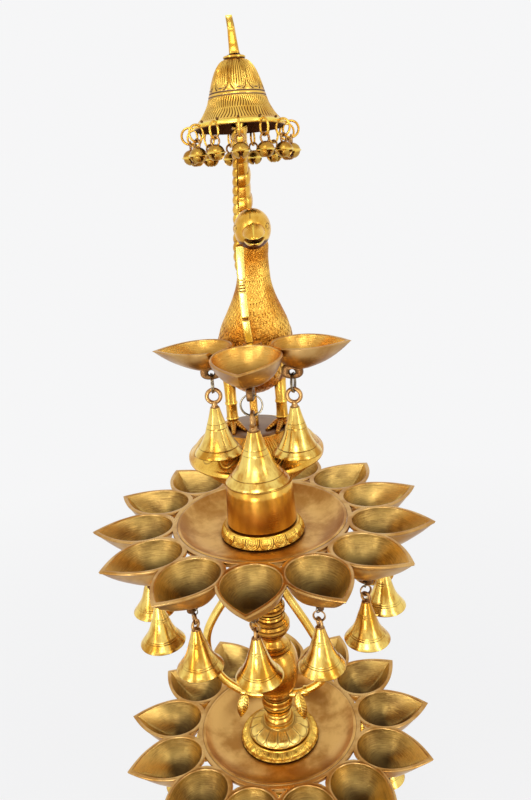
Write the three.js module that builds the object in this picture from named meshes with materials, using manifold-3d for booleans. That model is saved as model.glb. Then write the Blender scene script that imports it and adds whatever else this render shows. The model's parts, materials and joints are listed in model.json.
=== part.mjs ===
// Peacock tiered oil lamp, millimetres, +Z up, front towards -Y, standing on Z = 0.
// A central rod clamps turned stem pieces, two trays of thirteen petal cups and a stepped base.
// On top a peacock on a lotus seat carries three larger cups and a bell-shaped canopy on its tail.
import * as THREE from 'three';
import { mergeVertices } from 'three/addons/utils/BufferGeometryUtils.js';
import Module from 'manifold-3d';

const wasm = await Module();
wasm.setup();

// Stack of the lamp, from the floor up
const CLEARANCE = 0.35;          // gap between touching pieces
const LOWER_TIER_Z = 330;        // rim plane of the lower tray
const TIER_PITCH = 270;          // rise from one tray to the next
const UPPER_TIER_Z = LOWER_TIER_Z + TIER_PITCH;
const ROD_RADIUS = 4;
const BORE = ROD_RADIUS + CLEARANCE;
const ROUND = 16;                // sides of a turned piece
const STEM_SIDES = 14;

// Base
const BASE_RADIUS = 140;
const BASE_HEIGHT = 14;
const FOOT_WIDTH = 24;           // radial width of the foot ring
const DOME_RISE = 58;
const DOME_WALL = 6;
const DOME_TOP_RADIUS = 36;
const DOME_STEP_RADIUS = 72;     // where the dome turns from its flat skirt to its cone
const NUT_RADIUS = 13;
const NUT_HEIGHT = 9;
const ROD_LOW = 22;

// Trays
const CUP_COUNT = 13;            // petal cups on each tray
const CUP_TIP_RADIUS = 180;
const CUP_HALF_WIDTH = 31.6;     // neighbouring rims meet at this width
const CUP_WIDEST = 0.4;          // share of a cup's length, from its inner end, where it is widest
const CUP_DEPTH = 30;
const CUP_WALL = 2.6;
const DISH_RADIUS = 89;
const DISH_DEPTH = 17;
const DISH_WALL = 3;
const BAND_WIDTH = 3.5;          // inner band of the cup ring, round the dish
const BAND_HEIGHT = 6;
const LOWER_TIER_TURN = -10.9;   // degrees, lower tray against the upper one

// Turned stem pieces
const PETAL_RING_RADIUS = 45;    // under the pots
const PETAL_RING_TOP_RADIUS = 37;
const PETAL_RING_HEIGHT = 9.5;
const POT_RADIUS = 35.5;
const POT_HEIGHT = 13;
const POT_NECK_RADIUS = 18;
const STEM_RADIUS = 17;          // largest rib of the stem, where the scroll arms sit
const COLLAR_HEIGHT = 34;
const COLLAR_RADIUS = 30;
const DRUM_RING_RADIUS = 44.3;    // petal ring under the drum
const DRUM_RING_TOP_RADIUS = 39;
const DRUM_RING_HEIGHT = 13;
const DRUM_LOW_RADIUS = 37;
const DRUM_RADIUS = 35;
const DRUM_TOP = UPPER_TIER_Z + 44;
const SEAT_TOP = UPPER_TIER_Z + 103;
const SEAT_RADIUS = 69.3;        // widest edge of the lotus seat
const SEAT_TOP_RADIUS = 34;

// Scroll arms, one on each side of the middle stem
const ARM_RADIUS = 4.8;
const ARM_LOW_SHARE = 0.134;     // height of the arms' lower ends as a share of the stem's length
const LEFT_ARM_HIGH_SHARE = 0.913;
const RIGHT_ARM_HIGH_SHARE = 0.853;

// Bells and what they hang on
const BELL_RADIUS = 23;
const BELL_HEIGHT = 42;
const BELL_WALL = 1.8;
const BELL_CIRCLE = 126;         // radius of the circle that the tray bells hang on
const EYE_RADIUS = 4.5;          // centreline of the cast eyes and the tray bells' loops
const EYE_WIRE = 1.5;
const EYE_SUNK = 2.2;            // how deep an eye's top sits in the cup's floor
const RING_RADIUS = 8;           // centreline of the tray bells' split rings
const RING_WIRE = 0.9;
const RING_BITE = 0.4;           // the split ring is closed this tight on the bell's loop
const SIDE_BELL_HEIGHT = 44;     // bells under the two side cups before the breast
const BREAST_BELL_NECK = 4;      // plain rod between the loop and the crown
const FRONT_BELL_HEIGHT = 46;
const SIDE_BELL_RADIUS = 21.5;
const FRONT_BELL_RADIUS = 28.2;
const SIDE_RING_RADIUS = 8.6;
const FRONT_RING_RADIUS = 9.3;
const BREAST_EYE_WIRE = 2;
const BREAST_LOOP_RADIUS = 6.3;
const BREAST_LOOP_WIRE = 1.9;

// Top group: the bird leans to its left, and carries the cups and the canopy
const BIRD_LEAN = 0.088;         // sideways shift for each millimetre of height
const LEAN_FROM = 90;            // height over the upper tray where the lean starts
const LEG_SPREAD = 25.5;
const LEG_RADIUS = 5.8;
const LEG_Y = 4;
const BIRD_POST_X = 1;           // post under the belly, in line with the central rod
const CLUSTER_X = 10.5;          // where the three upper cups meet, before the breast
const CLUSTER_Y = -55;
const CLUSTER_Z = UPPER_TIER_Z + 203;
const CLUSTER_CUP_LENGTH = 90;
const CLUSTER_CUP_START = 6;
const CLUSTER_CUP_HALF_WIDTH = 30;
const CLUSTER_CUP_TURN = 82;     // degrees from the front cup to each side cup
const LEFT_CUP_DEPTH = 20.8;
const LEFT_CUP_REACH = 39;       // from the hub to the left cup's eye, along the cup
const RIGHT_CUP_DEPTH = 24;
const RIGHT_CUP_REACH = 35.5;
const FRONT_CUP_DEPTH = 25;
const FRONT_CUP_REACH = 47;
const FRONT_CUP_DIP = 7;         // degrees that the front cup points down
const CANOPY_X = 7.2;
const CANOPY_Y = 22;
const CANOPY_Z = UPPER_TIER_Z + 389;
const CANOPY_RADIUS = 42.4;
const CANOPY_HEIGHT = 58;
const CANOPY_LIP = 4;            // height of the plain lip
const CANOPY_WALL = 2.4;
const JINGLE_COUNT = 13;
const JINGLE_RADIUS = 8.2;
const JINGLE_OUT = 4.6;          // from the canopy's lip out to the jingle bells' rings
const JINGLE_RING_RADIUS = 7.2;
const JINGLE_RING_WIRE = 0.8;
const JINGLE_TURN = 5;           // degrees from the front to the first jingle bell
const POST_RADIUS = 4;
const POST_TIP_RADIUS = 2.6;
const FINIAL_THICKNESS = 7;

const castBrass = new THREE.MeshStandardMaterial({ color: 0xb98a3a, roughness: 0.45, metalness: 1 });
const turnedBrass = new THREE.MeshStandardMaterial({ color: 0xc99c4a, roughness: 0.3, metalness: 1 });
const bellBrass = new THREE.MeshStandardMaterial({ color: 0xd8b45a, roughness: 0.2, metalness: 1 });
const cupBrass = new THREE.MeshStandardMaterial({ color: 0xa8813c, roughness: 0.4, metalness: 1 });
const rodSteel = new THREE.MeshStandardMaterial({ color: 0x8a7a5a, roughness: 0.35, metalness: 1 });

const radians = THREE.MathUtils.degToRad;
const lean = (height) => BIRD_LEAN * (height - LEAN_FROM);

// One closed surface with merged vertices and its faces outwards.
function solid(geometry) {
  geometry.deleteAttribute('normal');
  geometry.deleteAttribute('uv');
  const merged = mergeVertices(geometry, 1e-4);
  const place = merged.attributes.position.array;
  const kept = [];
  let volume = 0;
  const at = (i) => new THREE.Vector3().fromArray(place, 3 * i);
  for (let i = 0; i < merged.index.count; i += 3) {
    const [a, b, c] = [0, 1, 2].map((k) => merged.index.array[i + k]);
    if (a === b || b === c || c === a) continue;
    volume += at(a).dot(at(b).cross(at(c)));
    kept.push(a, b, c);
  }
  if (volume < 0) kept.reverse();
  merged.setIndex(kept);
  return merged;
}

function toManifold(geometry) {
  const closed = solid(geometry.clone());
  return new wasm.Manifold(new wasm.Mesh({
    numProp: 3,
    vertProperties: new Float32Array(closed.attributes.position.array),
    triVerts: new Uint32Array(closed.index.array),
  }));
}

function fromManifold(shape) {
  const mesh = shape.asOriginal().simplify(0.05).getMesh();
  const geometry = new THREE.BufferGeometry();
  geometry.setAttribute('position', new THREE.BufferAttribute(new Float32Array(mesh.vertProperties), 3));
  geometry.setIndex([...mesh.triVerts]);
  return geometry;
}

const fuse = (...parts) => fromManifold(parts.map(toManifold).reduce((a, b) => a.add(b)));
const cut = (body, tool) => fromManifold(toManifold(body).subtract(toManifold(tool)));

// A ring of [radius, height] points round Z; the last point joins the first.
function ringOf(profile, sides) {
  const points = [...profile, profile[0]].map(([r, z]) => new THREE.Vector2(r, z));
  return solid(new THREE.LatheGeometry(points, sides).rotateX(Math.PI / 2));
}

// A turned piece from [radius, height] points, low to high, with a bore or full to its axis.
function turned(profile, bore = 0, sides = ROUND) {
  const low = [bore, profile[0][1]];
  const high = [bore, profile[profile.length - 1][1]];
  if (bore > 0) return ringOf([low, ...profile, high], sides);
  const points = [low, ...profile, high].map(([r, z]) => new THREE.Vector2(r, z));
  return solid(new THREE.LatheGeometry(points, sides).rotateX(Math.PI / 2));
}

const rod = (low, high, radius, sides = 8) => turned([[radius, low], [radius, high]], 0, sides);

// Closed skin over rings of equal length, with a flat fan at each end.
function skin(rings) {
  const count = rings[0].length;
  const place = [];
  const faces = [];
  rings.forEach((ring) => ring.forEach((p) => place.push(p.x, p.y, p.z)));
  for (let k = 0; k + 1 < rings.length; k += 1) {
    for (let i = 0; i < count; i += 1) {
      const j = (i + 1) % count;
      faces.push(k * count + i, k * count + j, (k + 1) * count + j);
      faces.push(k * count + i, (k + 1) * count + j, (k + 1) * count + i);
    }
  }
  [0, rings.length - 1].forEach((k, end) => {
    const centre = rings[k].reduce((a, b) => a.clone().add(b)).multiplyScalar(1 / count);
    const hub = place.length / 3;
    place.push(centre.x, centre.y, centre.z);
    for (let i = 0; i < count; i += 1) {
      const j = (i + 1) % count;
      if (end === 0) faces.push(hub, k * count + j, k * count + i);
      else faces.push(hub, k * count + i, k * count + j);
    }
  });
  const geometry = new THREE.BufferGeometry();
  geometry.setAttribute('position', new THREE.Float32BufferAttribute(place, 3));
  geometry.setIndex(faces);
  return solid(geometry);
}

// Half width of a petal cup at a share of its length: round inner end, pointed tip.
function petalWidth(share) {
  if (share < CUP_WIDEST) return Math.sqrt(1 - ((CUP_WIDEST - share) / CUP_WIDEST) ** 2);
  return 1 - ((share - CUP_WIDEST) / (1 - CUP_WIDEST)) ** 2;
}

// Petal cup along +X from inner to tip, rim at Z = 0.
function petalCup(inner, tip, halfWidth, depth, wall) {
  const shares = [0, 0.1, CUP_WIDEST, 0.68, 0.87, 1];
  const outline = (inset) => {
    const from = inner + inset;
    const to = tip - 1.9 * inset;
    const half = shares.map((s) => [from + (to - from) * s, (halfWidth - inset) * petalWidth(s)]);
    const back = half.slice(1, -1).reverse().map(([x, y]) => [x, -y]);
    return [...half, ...back];
  };
  const middle = inner + CUP_WIDEST * (tip - inner);
  // The keel under the tip runs straight, the sides are rounder.
  const level = (points, along, across, drop) => points.map(([x, y]) => new THREE.Vector3(
    middle + (x - middle) * (x > middle ? along : across), y * across, -drop,
  ));
  const outer = outline(0);
  const within = outline(wall);
  return skin([
    level(outer, 0.24, 0.3, depth),
    level(outer, 0.62, 0.77, depth * 0.6),
    level(outer, 1, 1, 0),
    level(within, 1, 1, 0),
    level(within, 0.62, 0.78, (depth - wall) * 0.6),
    level(within, 0.24, 0.3, depth - wall),
  ]);
}

// Wire rings: a hanging ring's hole runs along Y, a cross ring's hole along X.
const wireRing = (radius, wire) => solid(new THREE.TorusGeometry(radius, wire, 3, 6).rotateX(Math.PI / 2));
const crossRing = (radius, wire) => solid(new THREE.TorusGeometry(radius, wire, 3, 6).rotateY(Math.PI / 2));

// Depth of an eye's centre below a cup's rim, and the drop from there to the split ring's top wire.
const eyeDrop = (depth, wire) => depth - EYE_SUNK + EYE_RADIUS + wire;
const pivotDrop = (wire) => EYE_RADIUS - wire - RING_WIRE - CLEARANCE;

// Bell with its loop, its split ring and its clapper, hanging from the origin, where the ring rests in an eye.
function bell(radius, height, neck, loopRadius, loopWire, ringRadius) {
  const loop = -2 * ringRadius - loopRadius + loopWire + RING_WIRE - RING_BITE;
  const crown = loop - loopRadius - 0.6 - neck;
  const rim = crown - height;
  const shell = turned([
    [radius, rim], [0.75 * radius, rim + 0.1 * height], [0.54 * radius, rim + 0.4 * height], [0.18 * radius, crown],
  ], 0, 8);
  const hollow = turned([
    [radius - BELL_WALL, rim - 1], [0.75 * radius - BELL_WALL, rim + 0.1 * height],
    [0.54 * radius - BELL_WALL, rim + 0.4 * height - 1], [1.2, crown - 4],
  ], 0, 8);
  const stem = rod(crown - 3 - 0.74 * height, crown - 3, 0.9, 3);
  const tongue = new THREE.SphereGeometry(0.16 * radius, 5, 3).rotateX(Math.PI / 2);
  tongue.translate(0, 0, crown - 4 - 0.72 * height);
  return fuse(
    cut(shell, hollow), stem, tongue, rod(crown - 1, crown + neck + 1, 2.6, 6),
    wireRing(loopRadius, loopWire).translate(0, 0, loop),
    crossRing(ringRadius, RING_WIRE).translate(0, 0, -ringRadius),
  );
}

const lamp = new THREE.Group();
function add(name, geometry, material, place = [0, 0, 0], turn = 0) {
  const mesh = new THREE.Mesh(geometry, material);
  mesh.name = name;
  mesh.position.set(...place);
  mesh.rotation.z = radians(turn);
  lamp.add(mesh);
}

// Stepped base
const footInner = BASE_RADIUS - FOOT_WIDTH;
add('base_foot', ringOf([
  [footInner, 0], [BASE_RADIUS, 0], [BASE_RADIUS, BASE_HEIGHT - 5], [BASE_RADIUS - 7, BASE_HEIGHT],
  [footInner, BASE_HEIGHT],
], 28), castBrass);
const DOME_Z = BASE_HEIGHT + CLEARANCE;
const domeTop = DOME_Z + DOME_RISE;
const skirtRadius = BASE_RADIUS - 38;
add('base_dome', ringOf([
  [BORE, domeTop - DOME_WALL], [DOME_TOP_RADIUS - 2, domeTop - DOME_WALL],
  [DOME_TOP_RADIUS + 8, domeTop - 3 * DOME_WALL], [DOME_STEP_RADIUS - 2, DOME_Z + 4 * DOME_WALL],
  [skirtRadius - 4, DOME_Z + 3 * DOME_WALL], [skirtRadius, DOME_Z], [BASE_RADIUS - 10, DOME_Z],
  [BASE_RADIUS - 14, DOME_Z + 8], [skirtRadius + DOME_WALL, DOME_Z + 14], [skirtRadius, DOME_Z + 4 * DOME_WALL],
  [DOME_STEP_RADIUS, DOME_Z + 5 * DOME_WALL], [DOME_TOP_RADIUS + 11, domeTop - 2 * DOME_WALL],
  [DOME_TOP_RADIUS, domeTop], [BORE, domeTop],
], 28), castBrass);
const nutTop = domeTop - DOME_WALL - CLEARANCE;
add('base_nut', turned([[NUT_RADIUS, nutTop - NUT_HEIGHT], [NUT_RADIUS, nutTop]], 1.17 * BORE, 6), rodSteel);

// A stem from low to high: a petal ring, a low pot, a ribbed baluster and a flared collar.
const petalRing = (low, radius, topRadius, height) => turned([
  [radius, low], [radius - 0.5, low + 0.4 * height], [topRadius, low + height],
], BORE);
const pot = (low) => turned([
  [POT_RADIUS, low], [POT_RADIUS - 1.5, low + 3], [POT_RADIUS - 7, low + 7.5], [POT_NECK_RADIUS + 2, low + POT_HEIGHT - 2],
  [POT_NECK_RADIUS, low + POT_HEIGHT],
], BORE);
const collar = (low, high) => turned([
  [14, low], [20, low + 5], [16, low + 10], [22, high - 8], [COLLAR_RADIUS, high],
], BORE);
// [radius, share of the length]
const BALUSTER = [
  [14, 0], [16, 0.035], [13, 0.07], [STEM_RADIUS, ARM_LOW_SHARE - 0.025], [STEM_RADIUS, ARM_LOW_SHARE + 0.025],
  [15, 0.18], [24, 0.25], [28, 0.35], [25, 0.45], [14, 0.52], [12.5, 0.555], [21, 0.62], [15, 0.69], [17, 0.73],
  [14, 0.77], [STEM_RADIUS, RIGHT_ARM_HIGH_SHARE - 0.025], [STEM_RADIUS, LEFT_ARM_HIGH_SHARE + 0.025], [14, 1],
];
function stem(name, low, high) {
  const potLow = low + PETAL_RING_HEIGHT + CLEARANCE;
  const ribsLow = potLow + POT_HEIGHT + CLEARANCE;
  const collarLow = high - COLLAR_HEIGHT;
  const length = collarLow - CLEARANCE - ribsLow;
  const ring = petalRing(low, PETAL_RING_RADIUS, PETAL_RING_TOP_RADIUS, PETAL_RING_HEIGHT);
  add(`${name}_petal_ring`, ring, castBrass);
  add(`${name}_pot`, pot(potLow), turnedBrass);
  add(`${name}_ribbed_stem`, turned(BALUSTER.map(([r, s]) => [r, ribsLow + s * length]), BORE, STEM_SIDES), turnedBrass);
  add(`${name}_collar`, collar(collarLow, high), turnedBrass);
  return { ribsLow, length };
}

// Trays: a turned dish inside a cast ring of thirteen petal cups.
const trayEyeDrop = eyeDrop(CUP_DEPTH, EYE_WIRE);
const trayCup = fuse(
  petalCup(DISH_RADIUS + 3, CUP_TIP_RADIUS, CUP_HALF_WIDTH, CUP_DEPTH, CUP_WALL),
  wireRing(EYE_RADIUS, EYE_WIRE).translate(BELL_CIRCLE, 0, -trayEyeDrop),
);
const cupAngle = (index, turn) => -90 + turn + (360 / CUP_COUNT) * index;
const trayBell = bell(BELL_RADIUS, BELL_HEIGHT, 0, EYE_RADIUS, EYE_WIRE, RING_RADIUS);
const bandInner = DISH_RADIUS + 1 + CLEARANCE;
const band = ringOf([
  [bandInner, -BAND_HEIGHT], [bandInner + BAND_WIDTH, -BAND_HEIGHT], [bandInner + BAND_WIDTH, 0], [bandInner, 0],
], 26);
const dish = turned([
  [44, -DISH_DEPTH - DISH_WALL], [66, -DISH_DEPTH - DISH_WALL + 1.5], [81, -11.5], [DISH_RADIUS, -3],
  [DISH_RADIUS + 1, 0], [DISH_RADIUS - 2, 0], [78, -9.5], [65, -DISH_DEPTH + 1.5], [48, -DISH_DEPTH],
], BORE, 26);

function tray(name, rim, turn) {
  add(`${name}_dish`, dish.clone(), castBrass, [0, 0, rim], turn);
  const cups = [band];
  for (let i = 0; i < CUP_COUNT; i += 1) cups.push(trayCup.clone().rotateZ(radians(cupAngle(i, 0))));
  add(`${name}_cup_ring`, fuse(...cups), cupBrass, [0, 0, rim], turn);
  for (let i = 0; i < CUP_COUNT; i += 1) {
    const angle = cupAngle(i, turn);
    const way = radians(angle);
    const place = [BELL_CIRCLE * Math.cos(way), BELL_CIRCLE * Math.sin(way), rim - trayEyeDrop - pivotDrop(EYE_WIRE)];
    add(`${name}_bell_${i + 1}`, trayBell.clone(), bellBrass, place, angle);
  }
}

const dishBottom = DISH_DEPTH + DISH_WALL + CLEARANCE;
stem('lower', domeTop + CLEARANCE, LOWER_TIER_Z - dishBottom);
tray('lower', LOWER_TIER_Z, LOWER_TIER_TURN);
const middle = stem('middle', LOWER_TIER_Z - DISH_DEPTH + CLEARANCE, UPPER_TIER_Z - dishBottom);
tray('upper', UPPER_TIER_Z, 0);

// Scroll arm as a bent bar whose ends are cut to sit on the stem.
// Path points are [distance from the axis, share of the arm's height].
function scrollArm(side, highShare, bend, leafTop, leafTip) {
  const low = middle.ribsLow + ARM_LOW_SHARE * middle.length;
  const high = middle.ribsLow + highShare * middle.length;
  const points = [[STEM_RADIUS - 3, 1], ...bend, [STEM_RADIUS - 3, 0]];
  const path = new THREE.CatmullRomCurve3(points.map(([x, s]) => new THREE.Vector3(side * x, 0, low + s * (high - low))));
  const rings = [];
  for (let k = 0; k <= 18; k += 1) {
    const centre = path.getPointAt(k / 18);
    const along = path.getTangentAt(k / 18);
    const across = new THREE.Vector3(-along.z, 0, along.x).multiplyScalar(ARM_RADIUS);
    rings.push([0, 1, 2, 3, 4, 5].map((i) => centre.clone().addScaledVector(across, Math.cos((i * Math.PI) / 3))
      .add(new THREE.Vector3(0, ARM_RADIUS * Math.sin((i * Math.PI) / 3), 0))));
  }
  const seats = rod(low - 2 * ARM_RADIUS, high + 3 * ARM_RADIUS, STEM_RADIUS + CLEARANCE, STEM_SIDES);
  return fuse(cut(skin(rings), seats), leaf(leafTop, leafTip, low));
}
// Pointed leaf that hangs from the arm's lower end
function leaf(top, tip, datum) {
  const from = new THREE.Vector3(top[0], top[1], datum + top[2]);
  const to = new THREE.Vector3(tip[0], tip[1], datum + tip[2]);
  return skin([[0, 3], [0.3, 7], [0.6, 6.5], [1, 0.8]].map(([share, half]) => {
    const centre = from.clone().lerp(to, share);
    return [[half, 0], [0, 1.8], [-half, 0], [0, -1.8]].map(([x, y]) => centre.clone().add(new THREE.Vector3(x, y, 0)));
  }));
}
add('left_scroll_arm', scrollArm(-1, LEFT_ARM_HIGH_SHARE, [
  [32, 0.95], [52, 0.795], [72, 0.565], [74, 0.37], [62, 0.155], [36, 0.02],
], [-36, -2, 6], [-43, -10, -25]), turnedBrass);
add('right_scroll_arm', scrollArm(1, RIGHT_ARM_HIGH_SHARE, [
  [24, 0.87], [43, 0.615], [57, 0.37], [54, 0.14], [32, 0.02],
], [25, -3, 6], [31, -12, -27]), turnedBrass);

// Drum, lotus seat and the rod through the lamp
const topRingLow = UPPER_TIER_Z - DISH_DEPTH + CLEARANCE;
add('upper_petal_ring', petalRing(topRingLow, DRUM_RING_RADIUS, DRUM_RING_TOP_RADIUS, DRUM_RING_HEIGHT), castBrass);
add('upper_drum', turned([
  [DRUM_LOW_RADIUS, topRingLow + DRUM_RING_HEIGHT + CLEARANCE], [DRUM_RADIUS, DRUM_TOP - 6], [DRUM_RADIUS, DRUM_TOP],
], BORE), turnedBrass);
const seatLow = DRUM_TOP + CLEARANCE;
add('lotus_seat', turned([
  [DRUM_RADIUS + 1, seatLow], [DRUM_RADIUS + 4, seatLow + 5], [SEAT_RADIUS - 20, seatLow + 13],
  [SEAT_RADIUS - 7, seatLow + 25], [SEAT_RADIUS, seatLow + 29], [SEAT_RADIUS - 1, seatLow + 34],
  [SEAT_RADIUS - 6, SEAT_TOP - 19.5], [SEAT_RADIUS - 12, SEAT_TOP - 12.5], [SEAT_RADIUS - 22, SEAT_TOP - 5.5],
  [SEAT_TOP_RADIUS, SEAT_TOP],
], BORE), castBrass);
add('centre_rod', rod(ROD_LOW, SEAT_TOP - 4, ROD_RADIUS, 10), rodSteel);

// Peacock: one casting of body, neck, head, beak and legs.
// Each station of the skin is [front y, front z, back y, back z, half width, shift to the side],
// heights over the upper tray.
const SECTION_SIDES = 14;
const BIRD_STATIONS = [
  [56, 187, 56, 199, 6, 0], [47, 164, 44, 210, 20, 0], [27, 144, 24, 217, 30, 0], [3, 137, 9, 219, 34.5, 0],
  [-22, 150, 2, 224, 35.5, 0], [-38, 174, -3, 231, 34, 0], [-43, 199, -6, 238, 28, 0],
  [-41, 221, -7, 247, 21.5, -0.5], [-37, 241, -7, 257, 16.7, -1], [-33.5, 257, -6.5, 267, 14.8, -1.5],
  [-32.5, 271, -7, 278, 14, -2], [-35, 283, -10, 290, 14.6, -1.5], [-41, 289, -14, 303, 16, -0.5],
  [-46, 292, -23, 315.5, 16.6, 0], [-50, 293.5, -35, 318, 15.2, 0], [-52.5, 292, -46, 311, 11.5, 0],
  [-56, 289.5, -54, 301.5, 9, 0], [-63, 287, -62, 297, 7.5, 0], [-69, 286.5, -69, 292, 5, 0],
];
function birdSkin(grow) {
  return skin(BIRD_STATIONS.map(([y0, z0, y1, z1, halfWidth, shift]) => {
    const half = Math.hypot(y1 - y0, z1 - z0) / 2;
    const middleY = (y0 + y1) / 2;
    const middleZ = (z0 + z1) / 2;
    const reach = (half + grow) / half;
    const ring = [];
    for (let i = 0; i < SECTION_SIDES; i += 1) {
      const turn = (2 * Math.PI * i) / SECTION_SIDES;
      const y = middleY + ((y1 - y0) / 2) * reach * Math.sin(turn);
      const z = middleZ + ((z1 - z0) / 2) * reach * Math.sin(turn);
      const x = lean(z) + shift + (halfWidth + grow) * Math.cos(turn);
      ring.push(new THREE.Vector3(x, y, UPPER_TIER_Z + z));
    }
    return ring;
  }));
}
const legLow = SEAT_TOP + CLEARANCE;
const bellyZ = UPPER_TIER_Z + 160;
function leg(side) {
  const x = lean(130) + side * LEG_SPREAD;
  const foot = new THREE.BoxGeometry(16, 30, 5).translate(x - side * 6, LEG_Y - 6, legLow + 2.5);
  return fuse(rod(legLow, bellyZ, LEG_RADIUS).translate(x, LEG_Y, 0), foot);
}
const bellyPost = rod(legLow, bellyZ, ROD_RADIUS).translate(BIRD_POST_X, 0, 0);
add('peacock', fuse(birdSkin(0), leg(-1), leg(1), bellyPost), castBrass);

// Tail plume from the bird's back up to the canopy: [x, y, z, half width, half depth] over the upper tray
const TAIL_STATIONS = [
  [8.8, 62, 190, 6, 6], [6.5, 69, 206, 9, 10], [1.5, 74, 232, 11, 13], [-3, 75, 262, 11.5, 13],
  [-1.7, 72, 298, 10.2, 12], [0.8, 61, 334, 9, 11], [3.2, 46, 360, 7.7, 10], [5.3, 33, 378, 7.4, 8.5],
  [7, 24, 392, 7, 7],
];
function tailSkin() {
  return skin(TAIL_STATIONS.map(([x, y, z, wide, deep], k) => {
    const before = TAIL_STATIONS[Math.max(k - 1, 0)];
    const after = TAIL_STATIONS[Math.min(k + 1, TAIL_STATIONS.length - 1)];
    const along = Math.atan2(after[2] - before[2], after[1] - before[1]);
    return [[1, 0.75], [0.8, 1], [-0.8, 1], [-1, 0.75], [-1, -0.75], [-0.8, -1], [0.8, -1], [1, -0.75]].map(
      ([a, b]) => new THREE.Vector3(
        x + a * wide, y + b * deep * Math.sin(along), UPPER_TIER_Z + z - b * deep * Math.cos(along),
      ),
    );
  }));
}
const canopyTop = CANOPY_Z + CANOPY_HEIGHT;
const post = turned([
  [POST_RADIUS, UPPER_TIER_Z + 386], [POST_RADIUS, canopyTop - 9], [POST_TIP_RADIUS, canopyTop - 9],
  [POST_TIP_RADIUS, canopyTop + 3],
], 0, 10);
add('tail_plume', fuse(tailSkin(), post.translate(CANOPY_X, CANOPY_Y, 0)), castBrass);

// Canopy: a thin bell with its fringe; profile points are [radius, height over its lower edge].
const CANOPY_OUTSIDE = [
  [CANOPY_RADIUS, 0], [CANOPY_RADIUS, CANOPY_LIP], [34.8, 11], [28.8, 20.5], [26.2, 28.5], [22.3, 39], [17.8, 48],
  [12, 55], [9, CANOPY_HEIGHT],
];
const canopyBore = POST_TIP_RADIUS + 0.5;
const canopyInside = CANOPY_OUTSIDE.slice(0, 7).filter((point, i) => i !== 1)
  .map(([r, z]) => [r - CANOPY_WALL, z === 0 ? 0 : z - 1]).reverse();
const canopyShell = ringOf([
  ...CANOPY_OUTSIDE, [canopyBore, CANOPY_HEIGHT], [canopyBore, CANOPY_HEIGHT - 8], ...canopyInside,
], 20);
const fringe = [];
const jingleRingDrop = JINGLE_RING_RADIUS - CANOPY_LIP;
const shankDrop = jingleRingDrop + JINGLE_RING_RADIUS + 1.1;
for (let i = 0; i < JINGLE_COUNT; i += 1) {
  const hanging = fuse(
    wireRing(JINGLE_RING_RADIUS, JINGLE_RING_WIRE).translate(0, 0, -jingleRingDrop),
    crossRing(2.6, 0.8).translate(0, 0, -shankDrop),
    new THREE.SphereGeometry(JINGLE_RADIUS, 6, 4).rotateX(Math.PI / 2)
      .translate(0, 0, -shankDrop - 2.2 - JINGLE_RADIUS),
  );
  fringe.push(hanging.translate(CANOPY_RADIUS + JINGLE_OUT, 0, 0).rotateZ(radians(-90 + JINGLE_TURN + (360 / JINGLE_COUNT) * i)));
}
add('canopy', fuse(canopyShell, ...fringe), castBrass, [CANOPY_X, CANOPY_Y, CANOPY_Z]);

// Finial blade on the canopy post, curved in the middle plane
const blade = new THREE.Shape([
  [-7, 0], [7, 0], [8, 3], [4, 6], [5, 12], [8, 18], [7, 25], [2, 30], [-3, 31], [-1, 26], [1, 21], [-2, 14],
  [-4, 6], [-8, 3],
].map(([y, z]) => new THREE.Vector2(y, z)));
const finial = new THREE.ExtrudeGeometry(blade, { depth: FINIAL_THICKNESS, bevelEnabled: false });
finial.translate(0, 0, -FINIAL_THICKNESS / 2).applyMatrix4(new THREE.Matrix4().makeBasis(
  new THREE.Vector3(0, 1, 0), new THREE.Vector3(0, 0, 1), new THREE.Vector3(1, 0, 0),
));
add('finial_leaf', solid(finial), castBrass, [CANOPY_X - 1.2, CANOPY_Y, canopyTop + 3 + CLEARANCE]);

// Three larger cups before the breast, on a hub that fits round it
const clusterCups = [
  {
    name: 'left_breast_bell', turn: -CLUSTER_CUP_TURN, depth: LEFT_CUP_DEPTH, reach: LEFT_CUP_REACH, dip: 0,
    bellRadius: SIDE_BELL_RADIUS, bellHeight: SIDE_BELL_HEIGHT, ringRadius: SIDE_RING_RADIUS,
  },
  {
    name: 'front_breast_bell', turn: 0, depth: FRONT_CUP_DEPTH, reach: FRONT_CUP_REACH, dip: radians(FRONT_CUP_DIP),
    bellRadius: FRONT_BELL_RADIUS, bellHeight: FRONT_BELL_HEIGHT, ringRadius: FRONT_RING_RADIUS,
  },
  {
    name: 'right_breast_bell', turn: CLUSTER_CUP_TURN, depth: RIGHT_CUP_DEPTH, reach: RIGHT_CUP_REACH, dip: 0,
    bellRadius: SIDE_BELL_RADIUS, bellHeight: SIDE_BELL_HEIGHT, ringRadius: SIDE_RING_RADIUS,
  },
];
const clusterParts = clusterCups.map((cup) => {
  const { name, turn, depth, reach, dip, bellRadius, bellHeight, ringRadius } = cup;
  const drop = eyeDrop(depth, BREAST_EYE_WIRE);
  const out = reach * Math.cos(dip) - drop * Math.sin(dip);
  const eyeZ = -reach * Math.sin(dip) - drop * Math.cos(dip);
  const way = radians(turn - 90);
  const place = [
    CLUSTER_X + out * Math.cos(way), CLUSTER_Y + out * Math.sin(way),
    CLUSTER_Z + eyeZ - pivotDrop(BREAST_EYE_WIRE),
  ];
  const hanging = bell(
    bellRadius, bellHeight, BREAST_BELL_NECK, BREAST_LOOP_RADIUS, BREAST_LOOP_WIRE, ringRadius,
  );
  add(name, hanging, bellBrass, place, turn - 90);
  return fuse(
    petalCup(CLUSTER_CUP_START, CLUSTER_CUP_LENGTH, CLUSTER_CUP_HALF_WIDTH, depth, CUP_WALL),
    wireRing(EYE_RADIUS, BREAST_EYE_WIRE).translate(reach, 0, -drop),
  ).rotateY(dip).rotateZ(way);
});
const hub = rod(-20, 0, 9).translate(0, 3, 0);
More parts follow.
